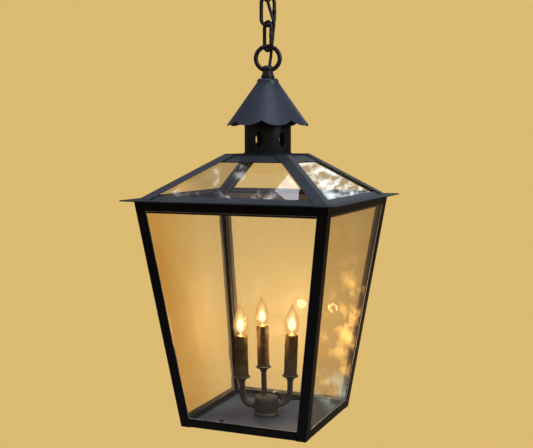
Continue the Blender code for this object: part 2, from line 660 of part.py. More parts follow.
def candles():
    """Name, foot on the cup's rim, axis, cup radius, sleeve radius, bulb radius and bulb height."""
    axis = centre_axis()
    foot = stem_foot() + axis * ((CENTRE_RIM_Z - STEM_FOOT_Z) / axis.z)
    found = [("centre", foot, axis, 13.0, 10.5, 11.35, 51.0)]
    for word, side in (("left", -1), ("right", 1)):
        way = Vector((math.cos(ARM_TURN), math.sin(ARM_TURN), 0)) * side
        axis = way * math.sin(SIDE_LEAN) + Vector((0, 0, math.cos(SIDE_LEAN)))
        foot = HUB_AT + way * SIDE_REACH + Vector((0, 0, SIDE_RIM_Z))
        found.append((word, foot, axis, 14.25, 11.5, 12.8, 55.0))
    return found


def make_arms():
    for word, foot, axis, *_ in candles():
        top = foot + axis * 4 * MM
        if word == "centre":
            start = stem_foot() - axis * 8 * MM
            points = [start, start.lerp(top, 0.5), top]
            radius, name = 4.75 * MM, "centre_stem"
        else:
            way = foot - HUB_AT
            way.z = 0
            way.normalize()
            bend_z = ARM_Z + ARM_BEND
            swing = math.pi / 2 - SIDE_LEAN
            end = foot - axis * ((foot.z - (bend_z - ARM_BEND * math.cos(swing))) / axis.z)
            middle = end - way * ARM_BEND * math.sin(swing)
            middle.z = bend_z
            points = [HUB_AT + way * 15.5 * MM + Vector((0, 0, ARM_Z))]
            for k in range(11):
                a = swing * k / 10
                points.append(middle + way * ARM_BEND * math.sin(a) - Vector((0, 0, ARM_BEND * math.cos(a))))
            points.append(top)
            radius, name = ARM_RADIUS, "arm_" + word
        tube(name, points, radius, "bronze_metal", detail=4)


def make_candles():
    """Each candle's cup, socket and sleeve, and the bulbs, which are returned."""
    bulbs = []
    for word, foot, axis, cup, sleeve, wide, tall in candles():
        bore = (4.75 if word == "centre" else 5) + 0.3
        place = {"at": foot, "axis": axis}
        length = SLEEVE_LENGTH / MM
        turned("cup_" + word, [
            (bore, -9.5), (bore + 1, -9.5), (bore + 1.6, -7), (cup - 5, -4.6), (cup - 1.2, -3.2),
            (cup - 0.1, -2.2), (cup, -1.2), (cup - 1.4, 0), (bore, 0)], "bronze_metal", 20, ring=True, **place)
        inner = sleeve - 0.9
        turned("sleeve_" + word, [(sleeve, 0.3), (sleeve, length), (inner, length), (inner, 0.3)], "sleeve",
               ring=True, **place)
        shell = sleeve - 1.6
        turned("socket_" + word, [
            (0, 4.4), (4.4, 4.4), (4.4, length - 27), (shell, length - 26), (shell, length - 1.5),
            (6.9, length - 1.5), (6.9, length - 23), (0, length - 23)], "socket", 16, **place)
        k = wide / 12.8
        flame = [(6.6, 1), (8.6, 4), (11.2, 9.5), (12.8, 18.5), (12.2, 26), (10, 34.5), (7.0, 42),
                 (3.6, 49.5), (1.2, 54), (0, 55)]
        base = [(0, -20), (3.5, -19.6), (6.2, -17.5), (6.2, -1)]
        shape = [(r, z + length) for r, z in base]
        shape += [(r * k, z * tall / 55 + length) for r, z in flame]
        bulbs.append((turned("bulb_" + word, shape, "bulb_glass", 16, **place), foot, axis))
    return bulbs


def make_lead():
    """The wire from the nipple, down the back left hip and post, to the hub."""
    route = [(x * MM, y * MM, z * MM) for x, y, z in LEAD_ROUTE]
    tube("lead_wire", smooth_route(route, 18 * MM), LEAD_RADIUS, "lead", detail=1)


# ---------------------------------------------------------------- joints

def pivot(name, place, riders, above=None):
    """An empty on a joint's axis, which its riders follow."""
    empty = bpy.data.objects.new(name, None)
    bpy.context.scene.collection.objects.link(empty)
    spot = Vector(place) - Vector((0, 0, CEILING))
    empty.location = spot
    if above:
        empty.parent = above
        empty.matrix_parent_inverse = above.matrix_world.inverted()
    bpy.context.view_layer.update()
    for rider in riders:
        rider.parent = empty
        rider.matrix_parent_inverse = empty.matrix_world.inverted()
    return empty


def main():
    for old in list(bpy.data.objects):
        bpy.data.objects.remove(old)
    make_canopy()
    make_supply_cord()
    fixed = set(bpy.data.objects)
    links = {number: make_link(number) for number in range(1, LINKS + 1)}
    pivots, above = {}, None
    for number in range(LINKS, 0, -1):
        z = link_foot_z(number) + LINK_LENGTH - 2 * LINK_WIRE - LINK_WIRE - GAP - RING_WIRE
        if number < LINKS:
            z = link_foot_z(number + 1)
        above = pivots[number] = pivot(f"pivot_link_{number}", (0, 0, z), [links[number]], above)
    lantern_pivot = pivot("pivot_lantern", (0, 0, link_foot_z(1)), [], above)

    make_posts()
    make_rails()
    make_side_panes()
    make_floor()
    make_hinges()
    make_door_stop()
    make_roof()
    make_chimney()
    make_cap()
    make_cap_strap()
    make_suspension()
    make_hub()
    make_arms()
    make_lead()
    door = make_door()
    door_pivot = pivot("pivot_door", door_spot(DOOR_MARGIN, -200 * MM, HINGE_OUT), door, lantern_pivot)
    bulbs = make_candles()
    bulb_pivots = [pivot("pivot_" + bulb.name, foot, [bulb], lantern_pivot) for bulb, foot, axis in bulbs]
    taken = {*fixed, *links.values(), *door, *pivots.values(), *bulb_pivots, lantern_pivot, door_pivot}
    taken |= {bulb for bulb, foot, axis in bulbs}
    for piece in set(bpy.data.objects) - taken:
        if piece.parent is None:
            piece.parent = lantern_pivot
            piece.matrix_parent_inverse = lantern_pivot.matrix_world.inverted()


main()
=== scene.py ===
"""The looks of the hanging lantern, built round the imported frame.

Units are metres. The origin is on the ceiling, on the lantern's axis, and +Z is up.
Shapes that repeat a CAD part are written in millimetres, with heights measured from
the top of the eave's flat lip, and place() brings such a point into the frame.
"""
import math

import bmesh
import bpy
from mathutils import Matrix, Vector, noise


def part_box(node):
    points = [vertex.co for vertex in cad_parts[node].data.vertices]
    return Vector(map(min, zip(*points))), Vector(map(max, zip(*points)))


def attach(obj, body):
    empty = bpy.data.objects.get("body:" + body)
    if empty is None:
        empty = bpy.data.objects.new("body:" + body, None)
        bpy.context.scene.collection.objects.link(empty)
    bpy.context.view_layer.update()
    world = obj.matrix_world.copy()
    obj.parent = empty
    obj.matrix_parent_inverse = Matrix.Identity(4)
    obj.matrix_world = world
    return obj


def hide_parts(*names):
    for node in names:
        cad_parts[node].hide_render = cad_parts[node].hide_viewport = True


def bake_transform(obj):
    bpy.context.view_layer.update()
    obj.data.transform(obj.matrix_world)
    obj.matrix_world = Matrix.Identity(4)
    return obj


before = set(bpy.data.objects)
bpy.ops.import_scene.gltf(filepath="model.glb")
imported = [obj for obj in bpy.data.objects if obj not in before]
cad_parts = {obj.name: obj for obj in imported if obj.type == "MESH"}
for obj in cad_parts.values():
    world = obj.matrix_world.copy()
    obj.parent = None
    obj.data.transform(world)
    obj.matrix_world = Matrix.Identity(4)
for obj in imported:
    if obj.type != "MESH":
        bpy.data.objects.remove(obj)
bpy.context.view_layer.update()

MM = 0.001
CEILING = 460                       # height of the ceiling over the lip, mm
RING_TURN = math.radians(22.5)      # the ring, the canopy's loop and link 2 face the camera
LINK_TURN = math.radians(-37.5)     # links 1 and 3
RING_RADIUS = 20.3                  # of the middle of the ring's wire, mm
RING_WIRE = 3.8                     # the wire's own radius, mm
BODY_HALF_TOP = 167.3               # half the body's width at the lip, mm
BODY_HALF_FOOT = 112.4              # and at its foot
FOOT_Z = -386.8


def place(x, y, z):
    """A point in millimetres, height from the lip, as a point of the frame."""
    return Vector((x, y, z - CEILING)) * MM


def level(turn):
    """The level direction at a turn about Z, from +X towards +Y."""
    return Vector((math.cos(turn), math.sin(turn), 0))


def in_scene(name, data):
    """A new object, linked to the scene."""
    thing = bpy.data.objects.new(name, data)
    bpy.context.scene.collection.objects.link(thing)
    return thing


# ------------ camera

def make_camera():
    """The view: from the right of the front, a little above the eave, looking down."""
    turn, pitch = math.radians(22.5), math.radians(5.2015)
    camera = in_scene("camera", bpy.data.cameras.new("camera"))
    camera.data.lens = 63.2
    camera.data.sensor_width = 36
    camera.location = (0.6144, -1.4891, -0.3609)
    reach = math.cos(pitch)
    way = Vector((-math.sin(turn) * reach, math.cos(turn) * reach, -math.sin(pitch)))
    camera.rotation_euler = way.to_track_quat("-Z", "Y").to_euler()
    camera.data.clip_start = 0.01
    bpy.context.scene.camera = camera


make_camera()


# ------------ shader nodes

class Nodes:
    """A node tree, built node by node."""

    def __init__(self, tree):
        self.tree = tree
        tree.nodes.clear()

    def put(self, socket, value):
        """Gives a socket a value or another node's socket; None leaves it as it is."""
        if isinstance(value, bpy.types.NodeSocket):
            self.tree.links.new(value, socket)
        elif isinstance(value, tuple) and socket.type == "RGBA":
            socket.default_value = (*value, 1)
        elif value is not None:
            socket.default_value = value

    def add(self, kind, settings=None, **inputs):
        """A node. An input's name has an underscore for each space, or is _ and its number."""
        node = self.tree.nodes.new("ShaderNode" + kind)
        for key, value in (settings or {}).items():
            setattr(node, key, value)
        for key, value in inputs.items():
            number = key[1:]
            self.put(node.inputs[int(number) if number.isdigit() else key.replace("_", " ")], value)
        return node

    def ramp(self, value, low, high, start=0.0, end=1.0):
        """Carries low..high to start..end, and holds it outside them."""
        return self.add("MapRange", Value=value, From_Min=low, From_Max=high, To_Min=start,
                        To_Max=end).outputs[0]

    def maths(self, operation, a, b):
        """A sum, product or the like of two numbers."""
        return self.add("Math", {"operation": operation}, _0=a, _1=b).outputs[0]


class Shader(Nodes):
    """A material, built node by node."""

    def __init__(self, name):
        self.material = bpy.data.materials.new(name)
        self.material.use_nodes = True
        super().__init__(self.material.node_tree)

    def place(self):
        """The point's own place in the frame."""
        return self.add("TexCoord").outputs["Object"]

    def noise(self, scale, detail=3.0, rough=0.55, warp=0.0, stretch=None):
        """Noise by place in the frame, 0 to 1."""
        where = self.place()
        if stretch:
            where = self.add("Mapping", Vector=where, Scale=stretch).outputs[0]
        return self.add("TexNoise", Vector=where, Scale=scale, Detail=detail, Roughness=rough,
                        Distortion=warp).outputs["Fac"]

    def blend(self, amount, a, b):
        """The colour between a and b."""
        return self.add("Mix", {"data_type": "RGBA"}, _0=amount, _6=a, _7=b).outputs[2]

    def bump(self, height, strength, depth, normal=None):
        """The normal of a surface with this height on it, over another normal if there is one."""
        return self.add("Bump", Height=height, Strength=strength, Distance=depth, Normal=normal).outputs[0]

    def rounded(self, radius):
        """Softened edges, and a mask that is 1 on them."""
        soft = self.add("Bevel", {"samples": 6}, Radius=radius).outputs[0]
        flat = self.add("NewGeometry").outputs["Normal"]
        dot = self.add("VectorMath", {"operation": "DOT_PRODUCT"}, _0=soft, _1=flat).outputs["Value"]
        return soft, self.ramp(dot, 0.985, 0.88)

    def facing_up(self):
        """0 on what faces sideways or down, 1 on what faces up."""
        normal = self.add("NewGeometry").outputs["Normal"]
        return self.ramp(self.add("SeparateXYZ", Vector=normal).outputs[2], 0.35, 0.95)

    def plumb(self):
        """The surface's own normal with most of its slope taken out, as if a leaning sheet were upright."""
        own = self.add("SeparateXYZ", Vector=self.add("TexCoord").outputs["Normal"])
        slope = self.maths("MULTIPLY", own.outputs[2], 0.3)
        level = self.add("CombineXYZ", X=own.outputs[0], Y=own.outputs[1], Z=slope).outputs[0]
        to_world = {"vector_type": "NORMAL", "convert_from": "OBJECT", "convert_to": "WORLD"}
        turned = self.add("VectorTransform", to_world, Vector=level).outputs[0]
        return self.add("VectorMath", {"operation": "NORMALIZE"}, _0=turned).outputs[0]

    def front_gloss(self, ior, reach, normal=None):
        """How much a sheet mirrors, from its near side only, since sight isn't bent inside it."""
        fresnel = self.add("Fresnel", IOR=ior, Normal=normal)
        behind = self.add("NewGeometry").outputs["Backfacing"]
        near = self.maths("MULTIPLY", fresnel.outputs[0], self.maths("SUBTRACT", 1.0, behind))
        return self.maths("MINIMUM", self.maths("MULTIPLY", near, reach), 1.0)

    def let_lamps_through(self, seen, clear):
        """Light on its way from a lamp to a surface isn't stopped by the glass."""
        path = self.add("LightPath").outputs["Is Shadow Ray"]
        return self.add("MixShader", Fac=path, _1=seen.outputs[0], _2=clear.outputs[0])

    def finish(self, surface):
        """The material, with this as its surface."""
        self.add("OutputMaterial", Surface=surface.outputs[0])
        return self.material


def painted(name, deep, light, worn, metallic, roughness, patch=16, grain=700, dust=0.25, edge=0.45,
            bump=0.25, gloss=0.5, round_by=0.7 * MM):
    """Satin paint on metal: soft tonal patches, a fine grain, rubbed edges and dust on what faces up."""
    s = Shader(name)
    patches = s.ramp(s.noise(patch, 5, 0.6, 0.4), 0.36, 0.66)
    colour = s.blend(patches, deep, light)
    fine = s.noise(grain, 2, 0.6)
    specks = s.ramp(s.noise(grain * 0.45, 3, 0.7), 0.60, 0.74)
    colour = s.blend(s.maths("MULTIPLY", specks, 0.35), colour, worn)
    soft, rubbed = None, 0.0
    if round_by:
        soft, edges = s.rounded(round_by)
        rubbed = s.maths("MULTIPLY", edges, s.ramp(s.noise(95, 4, 0.65), 0.44, 0.66))
        colour = s.blend(s.maths("MULTIPLY", rubbed, edge), colour, worn)
    settled = s.maths("MULTIPLY", s.facing_up(), s.ramp(s.noise(34, 5, 0.6), 0.30, 0.75, 0.35, 1.0))
    colour = s.blend(s.maths("MULTIPLY", settled, dust), colour, (0.20, 0.19, 0.175))
    rough = s.maths("ADD", s.ramp(fine, 0.3, 0.7, roughness - 0.05, roughness + 0.07),
                    s.maths("MULTIPLY", settled, 0.14))
    rough = s.maths("SUBTRACT", rough, s.maths("MULTIPLY", rubbed, 0.08))
    normal = s.bump(s.noise(30, 2, 0.5), 0.10, 1.0 * MM, s.bump(fine, bump, 0.25 * MM, soft))
    return s.finish(s.add("BsdfPrincipled", Base_Color=colour, Metallic=metallic, Roughness=rough,
                          Normal=normal, Specular_IOR_Level=gloss))


def glass(name, tint, painted_glow_colour, amount, reach, smear, clearer=None, upright=False):
    """Clear sheet with warm tinted patches in it, a painted glow of the bulbs; reflections grow towards a
    glancing angle.

    clearer gives the two places along Y between which the painted glow fades out and the film comes in.
    An upright sheet mirrors almost as if it didn't lean, and more sharply.
    """
    s = Shader(name)
    wavy = s.bump(s.noise(7, 1, 0.5, 0.2), 0.10, 1.0 * MM, s.plumb() if upright else None)
    haze = s.ramp(s.noise(26, 5, 0.65, 0.8), 0.48, 0.80)
    mirror = s.add("BsdfPrincipled", Base_Color=(0.60, 0.60, 0.58), Normal=wavy,
                   Roughness=s.ramp(haze, 0.0, 1.0, 0.006, 0.014 if upright else 0.058),
                   IOR=1.5, Metallic=1.0)
    # painted glow: warm patches that stand in for the bulbs' light seen through the sheet
    painted_glow = s.ramp(s.noise(4.2, 3, 0.55, 0.5, (1.0, 1.0, 0.55)), 0.34, 0.66, amount * 0.35, amount)
    film_amount = s.ramp(haze, 0.0, 1.0, smear * 0.5, smear)
    if clearer:
        where = s.add("SeparateXYZ", Vector=s.place()).outputs[1]
        painted_glow = s.maths("MULTIPLY", painted_glow, s.ramp(where, *clearer, 1.0, 0.0))
        film_amount = s.maths("MULTIPLY", film_amount, s.ramp(where, *clearer, 0.2, 1.0))
    clear = s.add("BsdfTransparent", Color=s.blend(painted_glow, tint, painted_glow_colour))
    film = s.add("BsdfPrincipled", Base_Color=(0.86, 0.79, 0.64), Roughness=0.9)
    dusty = s.add("MixShader", Fac=film_amount, _1=clear.outputs[0], _2=film.outputs[0])
    seen = s.add("MixShader", Fac=s.front_gloss(1.5, reach, wavy), _1=dusty.outputs[0],
                 _2=mirror.outputs[0])
    return s.finish(s.let_lamps_through(seen, clear))


def glowing(name, colour, strength, share):
    """Light that hangs in the bulb: share of it covers what is behind."""
    s = Shader(name)
    light = s.add("Emission", Color=colour, Strength=strength)
    clear = s.add("BsdfTransparent", Color=(1.0, 1.0, 1.0))
    seen = s.add("MixShader", Fac=share, _1=clear.outputs[0], _2=light.outputs[0])
    return s.finish(s.let_lamps_through(seen, clear))


def envelope_glass():
    """The bulb's thin glass, warmed by the light inside it, most of all towards its outline."""
    s = Shader("bulb_envelope")
    clear = s.add("BsdfTransparent", Color=(1.0, 0.93, 0.80))
    rim = s.add("LayerWeight", Blend=0.35).outputs["Facing"]
    warm = s.add("Emission", Color=(0.94, 0.45, 0.11), Strength=1.0)
    amount = s.ramp(rim, 0.25, 0.90, 0.06, 0.90)
    lit = s.add("MixShader", Fac=amount, _1=clear.outputs[0], _2=warm.outputs[0])
    gloss = s.add("BsdfPrincipled", Base_Color=(0.9, 0.85, 0.75), Metallic=1.0, Roughness=0.03)
    seen = s.add("MixShader", Fac=s.front_gloss(1.45, 0.9), _1=lit.outputs[0], _2=gloss.outputs[0])
    return s.finish(s.let_lamps_through(seen, clear))


def brass(name):
    """Dull brass, finely scratched along the height."""
    s = Shader(name)
    tone = s.blend(s.ramp(s.noise(120, 4, 0.6), 0.35, 0.7), (0.52, 0.34, 0.11), (0.70, 0.50, 0.20))
    scratches = s.noise(420, 3, 0.6, 0.0, (1.0, 1.0, 0.12))
    return s.finish(s.add("BsdfPrincipled", Base_Color=tone, Metallic=1.0,
                          Roughness=s.ramp(scratches, 0.3, 0.7, 0.24, 0.42),
                          Normal=s.bump(scratches, 0.15, 0.1 * MM)))


def sleeve_card(name):
    """A dark, matt card tube with blotches and brown fibres."""
    s = Shader(name)
    blotch = s.ramp(s.noise(75, 6, 0.65, 0.6), 0.35, 0.68)
    tone = s.blend(blotch, (0.060, 0.039, 0.016), (0.125, 0.082, 0.034))
    fibres = s.noise(330, 4, 0.7, 0.2, (1.0, 1.0, 0.35))
    tone = s.blend(s.maths("MULTIPLY", s.ramp(fibres, 0.55, 0.75), 0.45), tone, (0.16, 0.12, 0.085))
    normal = s.bump(s.noise(120, 4, 0.6), 0.45, 0.6 * MM, s.bump(fibres, 0.35, 0.25 * MM))
    return s.finish(s.add("BsdfPrincipled", Base_Color=tone, Roughness=s.ramp(fibres, 0.3, 0.7, 0.68, 0.84),
                          Normal=normal, Specular_IOR_Level=0.05))


def rubber(name, tone, roughness, twist, foot=None):
    """Rubber, or a wire's sheath; foot is a pale colour given to the sheath in a thin band of height a
    little above the floor plate.
    """
    s = Shader(name)
    fine = s.noise(500, 3, 0.6)
    lay = s.noise(160, 2, 0.5, 0.0, (1.0, 1.0, twist))
    colour = s.blend(s.ramp(lay, 0.35, 0.7), tone, tuple(min(1.0, c * 1.7 + 0.004) for c in tone))
    if foot:
        height = s.add("SeparateXYZ", Vector=s.place()).outputs[2]
        low = s.maths("MULTIPLY", s.ramp(height, -0.800, -0.805), s.ramp(height, -0.814, -0.811))
        colour = s.blend(low, colour, foot)
    rough = s.ramp(fine, 0.3, 0.7, roughness - 0.08, roughness + 0.1)
    normal = s.bump(fine, 0.2, 0.15 * MM, s.bump(lay, 0.25, 0.3 * MM))
    return s.finish(s.add("BsdfPrincipled", Base_Color=colour, Roughness=rough, Normal=normal))


BLACK = painted("black_paint", (0.0035, 0.0035, 0.0035), (0.007, 0.007, 0.0068), (0.045, 0.042, 0.036),
                0.0, 0.34, dust=0.08, gloss=0.16)
ROOF = painted("roof_paint", (0.022, 0.024, 0.030), (0.036, 0.039, 0.048), (0.11, 0.11, 0.12),
               0.15, 0.42, dust=0.16)
CAP = painted("cap_paint", (0.032, 0.036, 0.050), (0.052, 0.058, 0.078), (0.13, 0.14, 0.16),
              0.30, 0.42, dust=0.06, grain=900, bump=0.35, round_by=0)
CHIMNEY = painted("chimney_paint", (0.006, 0.006, 0.006), (0.011, 0.011, 0.011), (0.07, 0.07, 0.07),
                  0.0, 0.46, dust=0.06, gloss=0.35)
FLOOR = painted("floor_paint", (0.024, 0.042, 0.094), (0.054, 0.088, 0.170), (0.12, 0.14, 0.17),
                0.2, 0.36, dust=0.10)
BRONZE = painted("aged_bronze", (0.050, 0.038, 0.029), (0.100, 0.079, 0.061), (0.20, 0.165, 0.13),
                 0.35, 0.42, patch=60, dust=0.25, edge=0.6, round_by=0.5 * MM)
IRON = painted("chain_iron", (0.006, 0.006, 0.0065), (0.012, 0.012, 0.0125), (0.06, 0.057, 0.05),
               0.1, 0.36, patch=70, dust=0.06, bump=0.12, round_by=0)
# Each pane's warm colour and the amount after it are a painted glow of the bulbs, strongest on the door and
# right panes.
PANE = glass("pane_glass", (0.995, 0.985, 0.965), (0.95, 0.87, 0.72), 0.15, 1.3, 0.008)
SIDE_PANE = glass("side_pane_glass", (0.99, 0.96, 0.90), (0.93, 0.78, 0.52), 0.6, 1.5, 0.07)
DOOR_PANE = glass("door_pane_glass", (0.995, 0.97, 0.92), (0.88, 0.68, 0.38), 0.9, 1.3, 0.15, (-0.10, 0.05))
BACK_PANE = glass("back_pane_glass", (0.995, 0.99, 0.97), (0.96, 0.90, 0.78), 0.10, 1.3, 0.20, upright=True)
BRASS = brass("socket_brass")
SEALANT = painted("pane_sealant", (0.42, 0.38, 0.30), (0.55, 0.50, 0.41), (0.70, 0.66, 0.55),
                  0.0, 0.30, dust=0.0, round_by=0)
SLEEVE = sleeve_card("sleeve_card")
BULB = envelope_glass()
# painted shade: near-black, so that the floor plate's small hole reads dark
HOLE_SHADE_FINISH = rubber("plug_rubber", (0.0015, 0.0015, 0.0015), 0.75, 0.5)
CORD = rubber("cord_rubber", (0.010, 0.010, 0.011), 0.45, 0.25)
LEAD = rubber("lead_sheath", (0.030, 0.026, 0.022), 0.45, 0.3, (0.85, 0.83, 0.77))


# ------------ mesh tools

def show(name, mesh, finish, body, stands_for=(), smooth=40):
    """A finished mesh as a piece of the object that moves with a body."""
    mesh.shade_smooth()
    mesh.set_sharp_from_angle(angle=math.radians(smooth))
    mesh.materials.append(finish)
    mesh.name = name
    piece = in_scene(name, mesh)
    if body:
        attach(piece, body)
    if stands_for:
        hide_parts(*stands_for)
    return piece


def mesh_from(bm):
    """The finished mesh, welded and with its faces turned outwards."""
    bmesh.ops.remove_doubles(bm, verts=bm.verts, dist=1e-6)
    bmesh.ops.recalc_face_normals(bm, faces=bm.faces)
    mesh = bpy.data.meshes.new("mesh")
    bm.to_mesh(mesh)
    bm.free()
    return mesh


def frame_at(at, axis):
    """Carries a shape built about its own Z to a place and an axis in the frame."""
    lean = Vector((0, 0, 1)).rotation_difference(Vector(axis))
    return Matrix.Translation(at) @ lean.to_matrix().to_4x4()


def lathe(bm, profile, segments, at=None, axis=(0, 0, 1), closes=False):
    """A profile of (radius, height) in millimetres, spun about an axis."""
    at = place(0, 0, 0) if at is None else at
    line = [bm.verts.new((r * MM, 0, z * MM)) for r, z in profile]
    ends = line[1:] + line[:1] if closes else line[1:]
    edges = [bm.edges.new(pair) for pair in zip(line, ends)]
    bmesh.ops.spin(bm, geom=line + edges, cent=(0, 0, 0), axis=(0, 0, 1), angle=math.tau,
                   steps=segments, use_merge=True)
    todo, seen = list(line), set(line)
    while todo:
        for edge in todo.pop().link_edges:
            for vert in edge.verts:
                if vert not in seen:
                    seen.add(vert)
                    todo.append(vert)
    bmesh.ops.transform(bm, matrix=frame_at(at, axis), verts=list(seen))


def rounded(profile, radius=0.6, steps=4, closes=False):
    """The profile with its corners rounded off by short arcs."""
    found = []
    count = len(profile)
    for i, here in enumerate(profile):
        if not closes and i in (0, count - 1):
            found.append(here)
            continue
        p, a, b = Vector(here), Vector(profile[i - 1]), Vector(profile[(i + 1) % count])
        reach = min(radius, (a - p).length * 0.45, (b - p).length * 0.45)
        start, end = p + (a - p).normalized() * reach, p + (b - p).normalized() * reach
        for k in range(steps + 1):
            t = k / steps
            found.append(tuple(start.lerp(p, t).lerp(p.lerp(end, t), t)))
    return found


def sweep(bm, points, radius, sides=16, closes=False, swell=None):
    """A round bar along points; swell(k) scales its radius at each of them."""
    count = len(points)
    if closes:
        ways = [(points[(i + 1) % count] - points[i - 1]).normalized() for i in range(count)]
    else:
        ways = [(points[min(i + 1, count - 1)] - points[max(i - 1, 0)]).normalized() for i in range(count)]
    side = ways[0].orthogonal().normalized()
    angles = [math.tau * k / sides for k in range(sides)]
    rings = []
    for i, (p, way) in enumerate(zip(points, ways)):
        side = (side - way * side.dot(way)).normalized()
        across = way.cross(side)
        r = radius * (swell(i) if swell else 1.0)
        rings.append([bm.verts.new(p + (side * math.cos(a) + across * math.sin(a)) * r) for a in angles])
    pairs = list(zip(rings, rings[1:]))
    if closes:
        turn = min(range(sides), key=lambda k: (rings[-1][0].co - rings[0][k].co).length)
        pairs.append((rings[-1], rings[0][turn:] + rings[0][:turn]))
    for low, high in pairs:
        for k in range(sides):
            n = (k + 1) % sides
            bm.faces.new((low[k], low[n], high[n], high[k]))
    if not closes:
        bm.faces.new(rings[0][::-1])
        bm.faces.new(rings[-1])


def box(bm, centre, axes, sizes, chamfer=0.0):
    """A bar with three axes and three sizes, its edges eased."""
    corners = [[bm.verts.new(centre + sum((axes[k] * sizes[k] * s[k] / 2 for k in range(3)), Vector()))
                for s in ((-1, -1, z), (1, -1, z), (1, 1, z), (-1, 1, z))] for z in (-1, 1)]
    low, high = corners
    faces = [bm.faces.new(low[::-1]), bm.faces.new(high)]
    for k in range(4):
        n = (k + 1) % 4
        faces.append(bm.faces.new((low[k], low[n], high[n], high[k])))
    if chamfer:
        edges = list({e for f in faces for e in f.edges})
        bmesh.ops.bevel(bm, geom=edges, offset=chamfer, segments=2, affect="EDGES", profile=0.6)


def smooth_route(route, step):
    """Points about a step apart on a smooth curve through the route's points."""
    spots = [Vector(p) for p in route]
    spots = [spots[0] * 2 - spots[1]] + spots + [spots[-1] * 2 - spots[-2]]
    line = []
    for a, b, c, d in zip(spots, spots[1:], spots[2:], spots[3:]):
        pieces = max(1, round((c - b).length / step))
        for k in range(pieces):
            t = k / pieces
            line.append(0.5 * (2 * b + (c - a) * t + (2 * a - 5 * b + 4 * c - d) * t * t
                               + (3 * b - a - 3 * c + d) * t ** 3))
    return line + [spots[-2]]


# ------------ cords

SUPPLY_DIAMETER = 5.2 * MM
LEAD_DIAMETER = 3 * MM
SUPPLY_ROUTE = [                    # right of the ring's axis, behind it, height
    (3.2, 7.0, 224.4), (3.9, 7.5, 230), (5.0, 7.6, 238), (5.8, 7.6, 247), (6.8, 6.7, 256),
    (7.8, 4.9, 265), (8.5, 2.3, 273), (9.1, -1.0, 280), (10.0, -3.9, 287), (10.3, -6.1, 294),
    (8.1, -6.9, 302), (5.6, -7.3, 310), (3.1, -8.0, 318), (0.8, -9.3, 326), (-1.1, -10.4, 334),
    (-2.5, -9.4, 343), (-3.6, -8.2, 354), (-4.4, -7.4, 368), (-4.8, -7.2, 384),
    (-4.9, -7.1, 400), (-4.9, -7.0, 414.1),
]
LEAD_ROUTE = [                      # x, y, height
    (0, 0, 119.5), (-1, 1, 112), (-5, 5, 100), (-12, 12, 86), (-20, 20, 72), (-30, 30, 62.5),
    (-45, 45, 63.5), (-60, 60, 56.5), (-80, 80, 43.5), (-100, 100, 30), (-120, 120, 16.5),
    (-138, 138, 4.5), (-148.5, 148.5, -6), (-152, 152, -22), (-147.6, 147.6, -60),
    (-140.5, 140.5, -110), (-133.4, 133.4, -160), (-126.3, 126.3, -210), (-119.2, 119.2, -260),
    (-112.1, 112.1, -310), (-106.5, 106.5, -350), (-102.5, 102.5, -367), (-94, 97.5, -376.5),
    (-78, 95, -381.2), (-52, 93, -381.9), (-25, 86, -381.9), (-4, 70, -381.5), (6, 51, -377),
    (10.1, 39, -367), (11.1, 30, -355), (9.6, 23.5, -347.8), (6.6, 17.5, -346.6), (4.6, 14, -348.3),
]


def make_supply_cord():
    """One cord in four lengths that meet half-way up each link."""
    c, s = math.cos(RING_TURN), math.sin(RING_TURN)
    route = [place(right * c - behind * s, right * s + behind * c, z) for right, behind, z in SUPPLY_ROUTE]
    line = smooth_route(route, 2.5 * MM)
    cuts = [sum(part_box(f"chain_link_{k}")[end].z for end in (0, 1)) / 2 for k in (1, 2, 3)]
    bounds = [line[0].z - 1, *cuts, line[-1].z + 1]
    for k in range(4):
        low, high = bounds[k], bounds[k + 1]
        path = [p for p in line if low <= p.z < high]
        for a, b in zip(line, line[1:]):
            if a.z < high <= b.z:
                path.append(a.lerp(b, (high - a.z) / (b.z - a.z)))
        if k:
            path.insert(0, last)
        last = path[-1]
        bm = bmesh.new()
        sweep(bm, path, SUPPLY_DIAMETER / 2, sides=14)
        name = f"supply_cord_{k + 1}"
        piece = show(name + "_rubber", mesh_from(bm), CORD, None, [name])
        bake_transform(piece)


def make_lead():
    """The lead from the cap down the back left post and across the floor to the hub."""
    path = smooth_route([place(*p) for p in LEAD_ROUTE], 5 * MM)
    bm = bmesh.new()
    sweep(bm, path, LEAD_DIAMETER / 2, sides=12)
    piece = show("lead_wire_sheath", mesh_from(bm), LEAD, "lantern", ["lead_wire"])


# ------------ roof and cap

